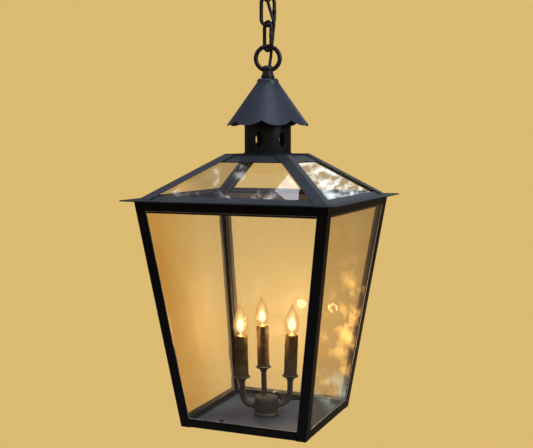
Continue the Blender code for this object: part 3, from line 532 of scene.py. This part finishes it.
def make_cap():
    """The scalloped cone, of slightly uneven sheet, with a lapped seam at its back."""
    scallops, radius, edge_z, rise = 8, 71.2, 121.2, 8.6
    shoulder, shoulder_z, top_z, sheet = 18.5, 195.0, 201.6, 1.3
    first_cusp = math.radians(13.5)
    steps = 20 * scallops
    chord = radius * math.sin(math.pi / scallops)
    lobe = (chord ** 2 + rise ** 2) / (2 * rise)
    lean = (radius - shoulder) / (shoulder_z - edge_z)

    def outline(low, inset):
        """Half the cone's section from its edge, which is at low, to the hole at its top."""
        line = []
        for k in range(9):
            z = low + (shoulder_z - low) * k / 8
            line.append((radius - lean * (z - edge_z) - inset, z))
        for degrees in (20, 40, 60, 75, 90):
            a = math.radians(degrees)
            line.append((13.5 - inset / 2 + 5.5 * math.cos(a),
                         shoulder_z + (top_z - shoulder_z - inset) * math.sin(a)))
        return line + [(5.3, top_z - inset)]

    bm = bmesh.new()
    rings = []
    for k in range(steps):
        angle = math.tau * k / steps
        off = (angle * scallops + math.pi) % math.tau - math.pi
        side = radius * math.sin((math.pi - abs(off)) / scallops)
        low = edge_z + lobe - math.sqrt(lobe ** 2 - side ** 2)
        heading = angle + first_cusp
        way = Vector((math.sin(heading), -math.cos(heading), 0))
        ring = []
        inside = outline(low, sheet)[::-1]
        for r, z in outline(low, 0) + inside:
            p = place(0, 0, z) + way * r * MM
            swell = noise.noise(p * 28) * 0.28 + noise.noise(p * 75) * 0.10
            ring.append(bm.verts.new(p + way * (swell - 0.25) * MM * min(1.0, r / 30)))
        rings.append(ring)
    count = len(rings[0])
    for k in range(steps):
        n = (k + 1) % steps
        for i in range(count):
            j = (i + 1) % count
            bm.faces.new((rings[k][i], rings[n][i], rings[n][j], rings[k][j]))
    show("chimney_cap_spun", mesh_from(bm), CAP, "lantern", ["chimney_cap"])
    bm = bmesh.new()
    heading = math.pi + RING_TURN
    way = Vector((math.sin(heading), -math.cos(heading), 0))
    low = place(0, 0, edge_z + 5) + way * (radius - 3.6) * MM
    high = place(0, 0, shoulder_z) + way * shoulder * MM
    along = (high - low).normalized()
    across = way.cross(Vector((0, 0, 1)))
    box(bm, (low + high) / 2, (along, across, along.cross(across)),
        ((high - low).length, 6 * MM, 1.1 * MM), 0.4 * MM)
    show("cap_lap_seam", mesh_from(bm), CAP, "lantern")


def make_chimney():
    """A rolled tube with six almond-shaped vents, a bead at each end, and a lapped seam."""
    radius, wall, low, high, vent_z = 39.8, 1.2, 74.1, 135.0, 98.0
    wide, tall, count = 6.2, 14.5, 6
    bow = (tall ** 2 + wide ** 2) / (2 * wide)
    bm = bmesh.new()
    section = [(radius, low), (radius, high), (radius - wall, high), (radius - wall, low)]
    lathe(bm, rounded(section, 0.4, 2, True), 120, closes=True)
    tube = in_scene("chimney_tube", mesh_from(bm))
    bm = bmesh.new()
    for k in range(count):
        outline = []
        for side in (1, -1):
            for t in range(-12, 12):
                z = side * t / 12 * tall
                outline.append((side * (math.sqrt(bow ** 2 - z ** 2) - bow + wide), z + vent_z))
        turn = Matrix.Rotation(math.tau * k / count, 4, "Z")
        near, far = [[bm.verts.new(turn @ place(x, -y, z)) for x, z in outline] for y in (25, 50)]
        bm.faces.new(near)
        bm.faces.new(far)
        for i in range(len(near)):
            j = (i + 1) % len(near)
            bm.faces.new((near[i], near[j], far[j], far[i]))
    cutter = in_scene("vent_cutter", mesh_from(bm))
    cut = tube.modifiers.new("vents", "BOOLEAN")
    cut.operation, cut.solver, cut.object = "DIFFERENCE", "EXACT", cutter
    bpy.context.view_layer.update()
    mesh = bpy.data.meshes.new_from_object(tube.evaluated_get(bpy.context.evaluated_depsgraph_get()))
    bpy.data.objects.remove(tube)
    bpy.data.objects.remove(cutter)
    show("chimney_rolled", mesh, CHIMNEY, "lantern", ["chimney"], smooth=30)
    bm = bmesh.new()
    for z, r, wire in ((low + 0.9, radius + 0.5, 0.9), (high - 1.0, radius + 0.4, 0.8)):
        ring = [place(0, 0, z) + level(math.tau * i / 96) * r * MM for i in range(96)]
        sweep(bm, ring, wire * MM, 8, closes=True)
    box(bm, place(0, radius + 0.2, (low + high) / 2), Matrix.Identity(3),
        (5 * MM, 1.0 * MM, (high - low - 4) * MM), 0.35 * MM)
    show("chimney_beads", mesh_from(bm), CHIMNEY, "lantern")


# ------------ ring, chain and canopy

def forge_ring(bm, z):
    """An upright ring of wire with its middle at this height."""
    turn = Matrix.Rotation(RING_TURN, 3, "Z")
    points = [place(0, 0, z) + turn @ Vector((math.cos(a), 0, math.sin(a))) * RING_RADIUS * MM
              for a in (math.tau * k / 72 for k in range(72))]
    sweep(bm, points, RING_WIRE * MM, 20, closes=True)


def make_suspension():
    """The turned collar on the cap, with its ring."""
    bm = bmesh.new()
    lathe(bm, rounded([
        (5.2, 210), (5.2, 202.1), (11.0, 202.1), (11.5, 202.9), (11.4, 206.2), (10.8, 206.8),
        (9.6, 207.4), (9.6, 211), (8.7, 211.6), (8.7, 215.6), (9.6, 216.6), (9.5, 219.5), (8.0, 222.2),
        (5.0, 223.4), (0, 223.5)], 0.7), 64)
    forge_ring(bm, 235.3)
    show("hanging_loop_forged", mesh_from(bm), IRON, "lantern", ["hanging_loop"])


def make_links():
    """Links of round wire, each with a weld half-way up one leg, and worn thin where they meet."""
    length, width, wire = 55.0, 28.5, 3.2
    bend = width / 2 - wire
    for number in (1, 2, 3):
        turn = Matrix.Rotation(RING_TURN if number == 2 else LINK_TURN, 3, "Z")
        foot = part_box(f"chain_link_{number}")[0].z / MM + wire + bend
        head = foot + length - width
        outline = []
        for centre, start in ((head, 0), (foot, math.pi)):
            for k in range(25):
                a = start + math.pi * k / 24
                outline.append(Vector((bend * math.cos(a), 0, centre + bend * math.sin(a))) * MM)
            x = bend * math.cos(start + math.pi)
            for t in range(1, 12):
                z = centre + (foot + head - 2 * centre) * t / 12
                outline.append(Vector((x, 0, z)) * MM)
        middle = (foot + head) / 2 * MM
        weld = min((i for i, p in enumerate(outline) if p.x > 0), key=lambda i: abs(outline[i].z - middle))

        def swell(i):
            """Thicker at the weld, thinner beside it and at both crowns."""
            worn = math.exp(-((i - 12) / 7) ** 2) + math.exp(-((i - 48) / 7) ** 2)
            weld_bead = 0.17 * math.exp(-((i - weld) / 1.3) ** 2)
            return 1 + weld_bead - 0.05 * math.exp(-((abs(i - weld) - 3.2) / 1.0) ** 2) - 0.07 * worn

        bm = bmesh.new()
        sweep(bm, [turn @ p for p in outline], wire * MM, 16, closes=True, swell=swell)
        for v in bm.verts:
            v.co += v.normal * noise.noise(v.co * 260) * 0.05 * MM
        show(f"chain_link_{number}_wire", mesh_from(bm), IRON, f"link_{number}",
             [f"chain_link_{number}"])


def make_canopy():
    """The spun plate on the ceiling, and the loop under it that carries the chain."""
    bm = bmesh.new()
    rim, deep, top = 65.0, 32.0, float(CEILING)
    outer = [(rim, 0), (rim, -3), (rim - 7, -8.5), (rim - 17, -16), (rim - 30, -24), (rim - 43, -29.5),
             (rim - 51, -deep), (5.4, -deep)]
    inner = [(5.4, -deep + 1.4), (rim - 51, -deep + 1.4), (rim - 30, -22.4), (rim - 17, -14.4),
             (rim - 3.4, -3.8), (rim - 2, 0)]
    lathe(bm, rounded([(r, top + z) for r, z in outer + inner], 3.0, 5, True), 120, closes=True)
    show("ceiling_canopy_spun", mesh_from(bm), BLACK, "canopy", ["ceiling_canopy"])
    bm = bmesh.new()
    ring_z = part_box("canopy_loop")[0].z / MM + CEILING + RING_RADIUS + RING_WIRE
    neck, under = ring_z + RING_RADIUS, top - deep - 0.3
    lathe(bm, rounded([
        (0, neck + 0.5), (5, neck + 0.5), (8, neck + 1.6), (9.5, neck + 4), (9.5, under - 5),
        (11.8, under - 4), (11.8, under - 0.5), (11.3, under), (5.2, under), (5.2, neck + 7)], 0.6), 64)
    forge_ring(bm, ring_z)
    show("canopy_loop_forged", mesh_from(bm), IRON, "canopy", ["canopy_loop"])


# ------------ candle cluster

HUB_AT = Vector((-2.4, -1.0, 0))    # the hub's axis, mm
STEM_FOOT = level(RING_TURN) * -5.8 + Vector((0, 0, -352))
STEM_RADIUS = 4.75
ARM_RADIUS = 5.0
ARM_TURN = math.radians(27)
ARM_Z = -366.6                      # of the arms where they leave the hub, mm
SIDE_LEAN = math.radians(1.6)       # of the side candles, outwards
CENTRE_LEAN = math.radians(1.65)    # of the centre candle, to the left
SLEEVE_LENGTH = 70.5


def lean_of(turn, angle, sign):
    """An axis that leans by an angle from upright, towards a turn about Z or away from it."""
    return level(turn) * sign * math.sin(angle) + Vector((0, 0, math.cos(angle)))


def candles():
    """Name, foot on the cup's rim, axis, cup radius, sleeve radius, bulb radius and bulb height, in mm."""
    axis = lean_of(RING_TURN, CENTRE_LEAN, -1)
    foot = STEM_FOOT + axis * ((-296.7 - STEM_FOOT.z) / axis.z)
    found = [("centre", foot, axis, 13.0, 10.5, 11.35, 51.0)]
    for word, side in (("left", -1), ("right", 1)):
        found.append((word, HUB_AT + level(ARM_TURN) * side * 42.5 + Vector((0, 0, -313.7)),
                      lean_of(ARM_TURN, SIDE_LEAN, side), 14.25, 11.5, 12.8, 55.0))
    return found


def make_hub():
    """The turned hub and its lid, with a collar for each arm, one for the stem, and a screw in front."""
    bm = bmesh.new()
    lathe(bm, rounded([
        (19.0, -383.4), (22.6, -383.4), (23.0, -382.0), (22.8, -379.8), (21.4, -378.6), (20.75, -377.0),
        (20.75, -354.4), (19.8, -353), (19.0, -353)], 0.8), 96, at=place(HUB_AT.x, HUB_AT.y, 0))
    show("hub_body_cast", mesh_from(bm), BRONZE, "lantern", ["hub_body"])
    bm = bmesh.new()
    lathe(bm, rounded([
        (17.5, -353.6), (18.4, -352.7), (20.2, -352.7), (20.3, -352.0), (19.0, -351.3), (15, -350.2),
        (9, -349.2), (0, -348.8)], 0.8), 96, at=place(HUB_AT.x, HUB_AT.y, 0))
    lathe(bm, rounded([(4.9, 0), (6.6, 1.2), (6.4, 3.2), (5.6, 4.4), (4.9, 4.6)], 0.6), 48,
          at=place(*STEM_FOOT), axis=lean_of(RING_TURN, CENTRE_LEAN, -1))
    show("hub_cap_cast", mesh_from(bm), BRONZE, "lantern", ["hub_cap"])
    bm = bmesh.new()
    for side in (-1, 1):
        lathe(bm, rounded([(5.2, 20.2), (7.6, 20.2), (7.6, 21.8), (6.6, 22.6), (5.2, 22.8)], 0.4), 40,
              at=place(HUB_AT.x, HUB_AT.y, ARM_Z), axis=level(ARM_TURN) * side)
    screw = math.radians(-18)
    lathe(bm, rounded([(0, 22.4), (1.5, 22.3), (2.4, 21.6), (2.5, 20.3), (0, 20.3)], 0.3), 24,
          at=place(HUB_AT.x, HUB_AT.y, -362), axis=(-math.sin(screw), math.cos(screw), 0))
    show("hub_fittings", mesh_from(bm), BRONZE, "lantern")


def make_arms():
    """The centre stem, and the side arms: level out of the hub, then round a bend and up to the cup."""
    for word, foot, axis, *_ in candles():
        top = foot + axis * 4
        if word == "centre":
            start = STEM_FOOT - axis * 8
            points = [start.lerp(top, k / 8) for k in range(9)]
            radius, name = STEM_RADIUS, "centre_stem"
        else:
            way = foot - HUB_AT
            way.z = 0
            way.normalize()
            bend = 20.0
            swing = math.pi / 2 - SIDE_LEAN
            end = foot - axis * ((foot.z - (ARM_Z + bend - bend * math.cos(swing))) / axis.z)
            middle = end - way * bend * math.sin(swing)
            middle.z = ARM_Z + bend
            points = [HUB_AT + way * 15.5 + Vector((0, 0, ARM_Z))]
            for k in range(25):
                a = swing * k / 24
                points.append(middle + way * bend * math.sin(a) - Vector((0, 0, bend * math.cos(a))))
            points.append(top)
            radius, name = ARM_RADIUS, "arm_" + word
        bm = bmesh.new()
        sweep(bm, [place(*p) for p in points], radius * MM, 28)
        show(name + "_tube", mesh_from(bm), BRONZE, "lantern", [name])


def make_candle(word, foot, axis, cup, sleeve, wide, tall):
    """A cup with a beaded rim, a card sleeve, and a flame bulb in a screw base."""
    at, top = place(*foot), SLEEVE_LENGTH
    bore = STEM_RADIUS if word == "centre" else ARM_RADIUS
    bm = bmesh.new()
    lathe(bm, rounded([
        (bore + 0.2, -10.0), (bore + 1.2, -9.8), (bore + 1.7, -7.2), (cup - 5, -4.8), (cup - 1.4, -3.6),
        (cup - 0.2, -2.9), (cup + 0.2, -1.6), (cup - 0.3, -0.4), (cup - 1.8, 0.1), (bore + 0.2, 0.1)], 0.7),
        72, at=at, axis=axis)
    show(f"cup_{word}_spun", mesh_from(bm), BRONZE, "lantern", ["cup_" + word])
    bm = bmesh.new()
    profile = [(sleeve - 0.1, 0.3)]
    profile += [(sleeve + 0.12 * math.sin(k * 1.9) - 0.05, 0.3 + (top - 0.8) * k / 22) for k in range(1, 22)]
    profile += [(sleeve - 0.15, top - 0.5), (sleeve - 0.55, top), (sleeve - 1.1, top - 0.1),
                (sleeve - 1.2, top - 4), (sleeve - 1.2, 0.3)]
    lathe(bm, profile, 72, at=at, axis=axis, closes=True)
    for v in bm.verts:
        v.co += (v.co - at).cross(axis).cross(axis).normalized() * -noise.noise(v.co * 110) * 0.22 * MM
    right = level(RING_TURN)
    for side in (-1, 1):
        spot = at + axis * (top - 19) * MM + right * side * (sleeve - 0.4) * MM
        lathe(bm, [(0, 1.5), (0.9, 1.3), (1.5, 0.7), (1.7, 0), (0, -0.3)], 20, at=spot, axis=right * side)
    show(f"sleeve_{word}_card", mesh_from(bm), SLEEVE, "lantern", ["sleeve_" + word])
    flame_wide, flame_tall = 12.8, 55
    body, k = "bulb_" + word, wide / flame_wide
    flame = [(6.6, 1), (7.4, 2.2), (8.6, 4), (10.0, 6.6), (11.3, 9.8), (12.4, 14), (flame_wide, 18.5),
             (12.6, 22.5), (11.9, 27), (10.7, 32), (9.0, 37), (7.0, 42), (5.0, 46.3), (3.3, 50), (2.0, 53),
             (0.9, 54.7), (0, flame_tall)]
    bm = bmesh.new()
    lathe(bm, [(r * k, top + z * tall / flame_tall) for r, z in flame], 56, at=at, axis=axis)
    show(body + "_envelope", mesh_from(bm), BULB, body, [body])
    bm = bmesh.new()
    thread = [(0, -20), (2.2, -19.9), (3.5, -19.4), (4.4, -17.8), (5.6, -16.8)]
    for turn in range(4):
        z = -16 + turn * 3.4
        thread += [(5.7, z), (6.3, z + 0.9), (6.3, z + 1.7), (5.7, z + 2.6)]
    thread += [(6.2, -1.6), (6.5, 0.9), (5.8, 1.4), (0, 1.4)]
    lathe(bm, [(r, top + z) for r, z in thread], 40, at=at, axis=axis)
    show(body + "_base", mesh_from(bm), BRASS, body)
    make_glow(word, at, axis, k)


GLOW = [                            # word, widest radius, foot, head, widest height, colour, strength, cover
    ("core", 6.0, 9.5, 31, 18.5, (1.0, 0.93, 0.72), 7.0, 1.0),
    ("inner", 7.4, 7.5, 38, 18.5, (1.0, 0.86, 0.52), 1.6, 0.60),
    ("middle", 9.0, 6, 43, 19, (1.0, 0.78, 0.40), 1.2, 0.40),
    ("outer", 11.2, 4, 50, 19, (1.0, 0.66, 0.27), 1.1, 0.34),
]
GLOW_FINISH = {word: glowing("glow_" + word, colour, strength, cover)
               for word, *_, colour, strength, cover in GLOW}

FILAMENT = glowing("glow_filament", (1.0, 0.90, 0.70), 70.0, 1.0)


def make_glow(word, at, axis, k):
    """The lit filament in nested drops of light, on the glass stem that carries it."""
    body, top = "bulb_" + word, SLEEVE_LENGTH
    for name, wide, low, high, middle, *_ in GLOW:
        profile = []
        for step in range(25):
            z = low + (high - low) * step / 24
            near = (z - middle) / ((middle - low) if z < middle else (high - middle))
            round_by = math.sqrt(max(0.0, 1 - near * near)) * (1 - 0.25 * max(0.0, near))
            profile.append((wide * k * round_by, top + z * k))
        bm = bmesh.new()
        lathe(bm, profile, 32, at=at, axis=axis)
        drop = show(f"{body}_{name}_light", mesh_from(bm), GLOW_FINISH[name], body)
        drop.visible_glossy = name != "core"
    bm = bmesh.new()
    lathe(bm, [(0, top + 14 * k), (2.2, top + 15 * k), (2.2, top + 23 * k), (0, top + 24 * k)], 16,
          at=at, axis=axis)
    filament = show(f"{body}_filament", mesh_from(bm), FILAMENT, body)
    filament.visible_diffuse = False
    bm = bmesh.new()
    stem = [(0, 1), (3.4, 1.2), (2.2, 3), (1.3, 6), (1.0, 10), (0, 10.5)]
    lathe(bm, [(r, top + z * k) for r, z in stem], 24, at=at, axis=axis)
    show(body + "_stem", mesh_from(bm), GLOW_FINISH["inner"], body)
    lamp = in_scene(body + "_lamp", bpy.data.lights.new(body + "_lamp", "POINT"))
    lamp.data.energy = 0.9
    lamp.data.color = (1.0, 0.66, 0.36)
    lamp.data.shadow_soft_size = 0.009
    lamp.location = at + axis * (top + 20 * k) * MM
    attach(lamp, body)


# ------------ small fittings

def body_half(z):
    """Half the body's width at a height, in millimetres."""
    return BODY_HALF_TOP - (BODY_HALF_TOP - BODY_HALF_FOOT) * z / FOOT_Z


def carried_round(face, point):
    """A point of the front face, carried round to the right (1), back (2) or door (3) face."""
    x, y, z = point
    for _ in range(face):
        x, y = -y, x
    return place(x, y, z)


def way_of(face, way):
    """A direction at the front face, carried round in the same manner."""
    return (carried_round(face, way) - carried_round(face, (0, 0, 0))).normalized()


def bars_round(bm, face, ends, margin, depth, across, thick, extra=0.0, chamfer=0.0):
    """Four bars round a face's pane: margin in from the body's edges, depth in from the face, mm."""
    low, high = ends
    corners = [carried_round(face, (side * (body_half(z) - margin), depth - body_half(z), z))
               for side, z in ((-1, low), (1, low), (1, high), (-1, high))]
    for a, b in zip(corners, corners[1:] + corners[:1]):
        along, inward = (b - a).normalized(), way_of(face, (0, 1, 0))
        inward = (inward - along * inward.dot(along)).normalized()
        box(bm, (a + b) / 2, (along, inward, along.cross(inward)),
            ((b - a).length + extra * MM, across * MM, thick * MM), chamfer * MM)


def make_glazing():
    """Round each pane: a slim bead on its inside, and a thin line of sealant on its outside."""
    for face, word in enumerate(("front", "right", "back", "door")):
        body, margin = ("door", 14.6) if word == "door" else ("lantern", 11.0)
        bm = bmesh.new()
        bars_round(bm, face, (-376.6, -20.0), margin, 6.95, 2.0, 3.2, extra=2.0, chamfer=0.4)
        show(f"glazing_bead_{word}", mesh_from(bm), BLACK, body)
        bm = bmesh.new()
        bars_round(bm, face, (-370.9, -17.8), 17.4, 2.0, 0.6, 0.9)
        show(f"sealant_{word}", mesh_from(bm), SEALANT, body)


def make_clips():
    """Small clips on the feet of the front, right and back panes, and screws up the back pane's sides."""
    bm = bmesh.new()
    up, z = Vector((0, 0, 1)), -377.5
    for face, places in ((2, (-70, 66)), (1, (-62, 60)), (0, (-64, 62))):
        along, inward = way_of(face, (1, 0, 0)), way_of(face, (0, 1, 0))
        for x in places:
            foot = carried_round(face, (x, 12.4 - body_half(z), z - 3))
            box(bm, foot, (along, inward, up), (7 * MM, 7 * MM, 1.0 * MM), 0.3 * MM)
            box(bm, foot + (up - inward) * 3 * MM, (along, inward, up), (7 * MM, 0.9 * MM, 7 * MM), 0.3 * MM)
    show("pane_clips", mesh_from(bm), BLACK, "lantern")
    bm = bmesh.new()
    head = [(0, 1.2), (0.9, 1.1), (1.7, 0.7), (2.1, 0.1), (2.1, 0.0), (0, -0.2)]
    for side in (-1, 1):
        for z in (-352, -190, -40):
            spot = (side * (body_half(z) - 9.5), 6.4 - body_half(z), z)
            lathe(bm, head, 20, at=carried_round(2, spot), axis=way_of(2, (0, 1, 0)))
    show("pane_screws", mesh_from(bm), BRASS, "lantern")


def make_hole_shade():
    """A near-black domed head in the floor plate's small hole: painted shade that makes the hole read dark.
    """
    bm = bmesh.new()
    profile = [(0, -384.9), (2.4, -384.9), (2.4, -383.7), (3.7, -383.4), (3.8, -381.8), (3.0, -380.2),
               (0, -379.6)]
    lathe(bm, profile, 24, at=place(-56, -72, 0))
    show("floor_hole_shade", mesh_from(bm), HOLE_SHADE_FINISH, "lantern")


def make_knob():
    """The door's turned knob, square to the sloping face."""
    slope, z = (BODY_HALF_TOP - BODY_HALF_FOOT) / FOOT_Z, -195.0
    bm = bmesh.new()
    turned = [(0, 0), (3.4, 0), (3.4, 0.8), (2, 1.2), (2, 2.2), (4.2, 2.9), (4.4, 3.9), (3.2, 4.6), (0, 4.8)]
    lathe(bm, rounded(turned, 0.4), 40, at=place(-(body_half(z) + 0.3), -(body_half(z) - 12.6), z),
          axis=Vector((-1, 0, slope)).normalized())
    show("door_knob_turned", mesh_from(bm), BLACK, "door", ["door_knob"])


# ------------ materials of the CAD nodes

def dress_nodes():
    """Gives each CAD node the finish of its material, or its own."""
    finishes = {"black_metal": BLACK, "roof_metal": ROOF, "clear_glass": PANE, "bronze_metal": BRONZE,
                "sleeve": SLEEVE, "socket": BRASS, "bulb_glass": BULB, "cord": CORD, "lead": LEAD}
    own = {"floor_plate": FLOOR, "pane_right": SIDE_PANE, "door_pane": DOOR_PANE, "pane_back": BACK_PANE}
    for name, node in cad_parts.items():
        materials = node.data.materials
        finish = own.get(name) or finishes[materials[0].name.split(".")[0]]
        materials.clear()
        materials.append(finish)


# ------------ room

def through_leaves(light, many, open_share, stretch):
    """Light in spots, as through foliage, that fades out towards the box's edges.

    many is how many gaps there are across it, and open_share how open they are.
    """
    light.use_nodes = True
    n = Nodes(light.node_tree)
    where = n.add("NewGeometry").outputs["Parametric"]
    spots = n.add("Mapping", Vector=where, Scale=(many, many * stretch, 1)).outputs[0]
    gaps = n.add("TexNoise", Vector=spots, Scale=1, Detail=4, Distortion=0.25).outputs["Fac"]
    fade = n.ramp(gaps, 0.58 - 0.3 * open_share, 0.80 - 0.3 * open_share, 0.03)
    spread = n.add("SeparateXYZ", Vector=where)
    for way in spread.outputs[:2]:
        for share in (way, n.maths("SUBTRACT", 1.0, way)):
            fade = n.maths("MULTIPLY", fade, share)
    shine = n.add("Emission", Strength=n.maths("MULTIPLY", fade, 16.0))
    n.add("OutputLight", Surface=shine.outputs[0])


def softbox(name, way, distance, size, colour, brightness, tall=None, leaves=None):
    """A soft area light in a direction from the lantern; brightness is of its surface."""
    light = bpy.data.lights.new(name, "AREA")
    light.shape = "RECTANGLE"
    light.size = size
    light.size_y = tall or size
    light.color = colour
    light.energy = brightness * math.pi * light.size * light.size_y
    if leaves:
        through_leaves(light, *leaves)
    lamp = in_scene(name, light)
    way = Vector(way).normalized()
    lamp.location = Vector((0, 0, -0.5)) + way * distance
    lamp.rotation_euler = (-way).to_track_quat("-Z", "Y").to_euler()
    lamp.visible_camera = False


def make_world():
    """A warm wall for the camera, and a room that is dark below and bluish above for the rest."""
    bpy.context.scene.world = bpy.data.worlds.new("room")
    bpy.context.scene.world.use_nodes = True
    n = Nodes(bpy.context.scene.world.node_tree)
    height = n.add("SeparateXYZ", Vector=n.add("TexCoord").outputs["Generated"]).outputs[2]
    tones = n.add("ValToRGB", _0=n.ramp(height, -1, 1))
    low, high = tones.color_ramp.elements
    low.position, low.color = 0.25, (0.07, 0.055, 0.035, 1)
    high.position, high.color = 0.85, (0.26, 0.31, 0.42, 1)
    tones.color_ramp.elements.new(0.5).color = (0.14, 0.105, 0.055, 1)
    room = n.add("Background", _0=tones.outputs[0])
    wall = n.add("Background", _0=(0.715, 0.495, 0.172))
    seen = n.add("MixShader", _0=n.add("LightPath").outputs["Is Camera Ray"], _1=room.outputs[0],
                 _2=wall.outputs[0])
    n.add("OutputWorld", Surface=seen.outputs[0])


def make_lights():
    """Window light from the right and above, a weak fill, and what the panes mirror from behind."""
    softbox("key", (0.90, -0.25, 0.50), 2.4, 1.1, (0.90, 0.95, 1.0), 5.6)
    softbox("fill", (-0.75, -0.75, 0.35), 2.6, 1.4, (1.0, 0.95, 0.88), 0.35)
    softbox("over", (-0.38, 0.27, 0.89), 2.4, 1.3, (0.92, 0.95, 1.0), 9.0, leaves=(24, 0.10, 0.9))
    softbox("skylight", (-0.315, 0.24, 0.92), 2.58, 0.15, (0.86, 0.86, 1.0), 7.0, tall=0.13)
    softbox("skylight_low", (-0.36, 0.21, 0.91), 2.55, 0.12, (0.88, 0.90, 1.0), 8.0, tall=0.05,
            leaves=(3, 0.8, 0.5))
    softbox("sky", (0.2, -0.3, 0.93), 2.8, 1.6, (0.78, 0.88, 1.0), 2.4)
    softbox("behind", (-0.02, 0.94, 0.325), 2.6, 0.8, (0.82, 0.93, 1.0), 3.8, leaves=(26, 0.50, 0.7))
    softbox("low_warm", (0.262, 0.905, -0.325), 2.75, 0.27, (1.0, 0.52, 0.13), 4.6, tall=0.68,
            leaves=(3, 0.34, 2.4))
    softbox("low_green", (0.245, 0.877, -0.43), 2.72, 0.26, (0.80, 0.95, 0.85), 1.3, tall=0.2,
            leaves=(3, 0.6, 1.0))


def make_floor():
    """A pale floor far below, which sends light up into the lantern."""
    bm = bmesh.new()
    bmesh.ops.create_circle(bm, cap_ends=True, segments=96, radius=3.2)
    floor = in_scene("floor", mesh_from(bm))
    floor.location.z = -2.4
    s = Shader("pale_floor")
    tone = s.blend(s.ramp(s.noise(3, 4, 0.5), 0.3, 0.7), (0.72, 0.66, 0.54), (0.78, 0.72, 0.60))
    floor.data.materials.append(s.finish(s.add("BsdfPrincipled", Base_Color=tone, Roughness=0.7)))


# ------------ all of it

make_supply_cord()
make_lead()
dress_nodes()
make_cap()
make_chimney()
make_suspension()
make_links()
make_canopy()
make_hub()
make_arms()
for candle in candles():
    make_candle(*candle)
make_glazing()
make_clips()
make_hole_shade()
make_knob()
bpy.context.scene.view_settings.view_transform = "Standard"
make_world()
make_lights()
make_floor()
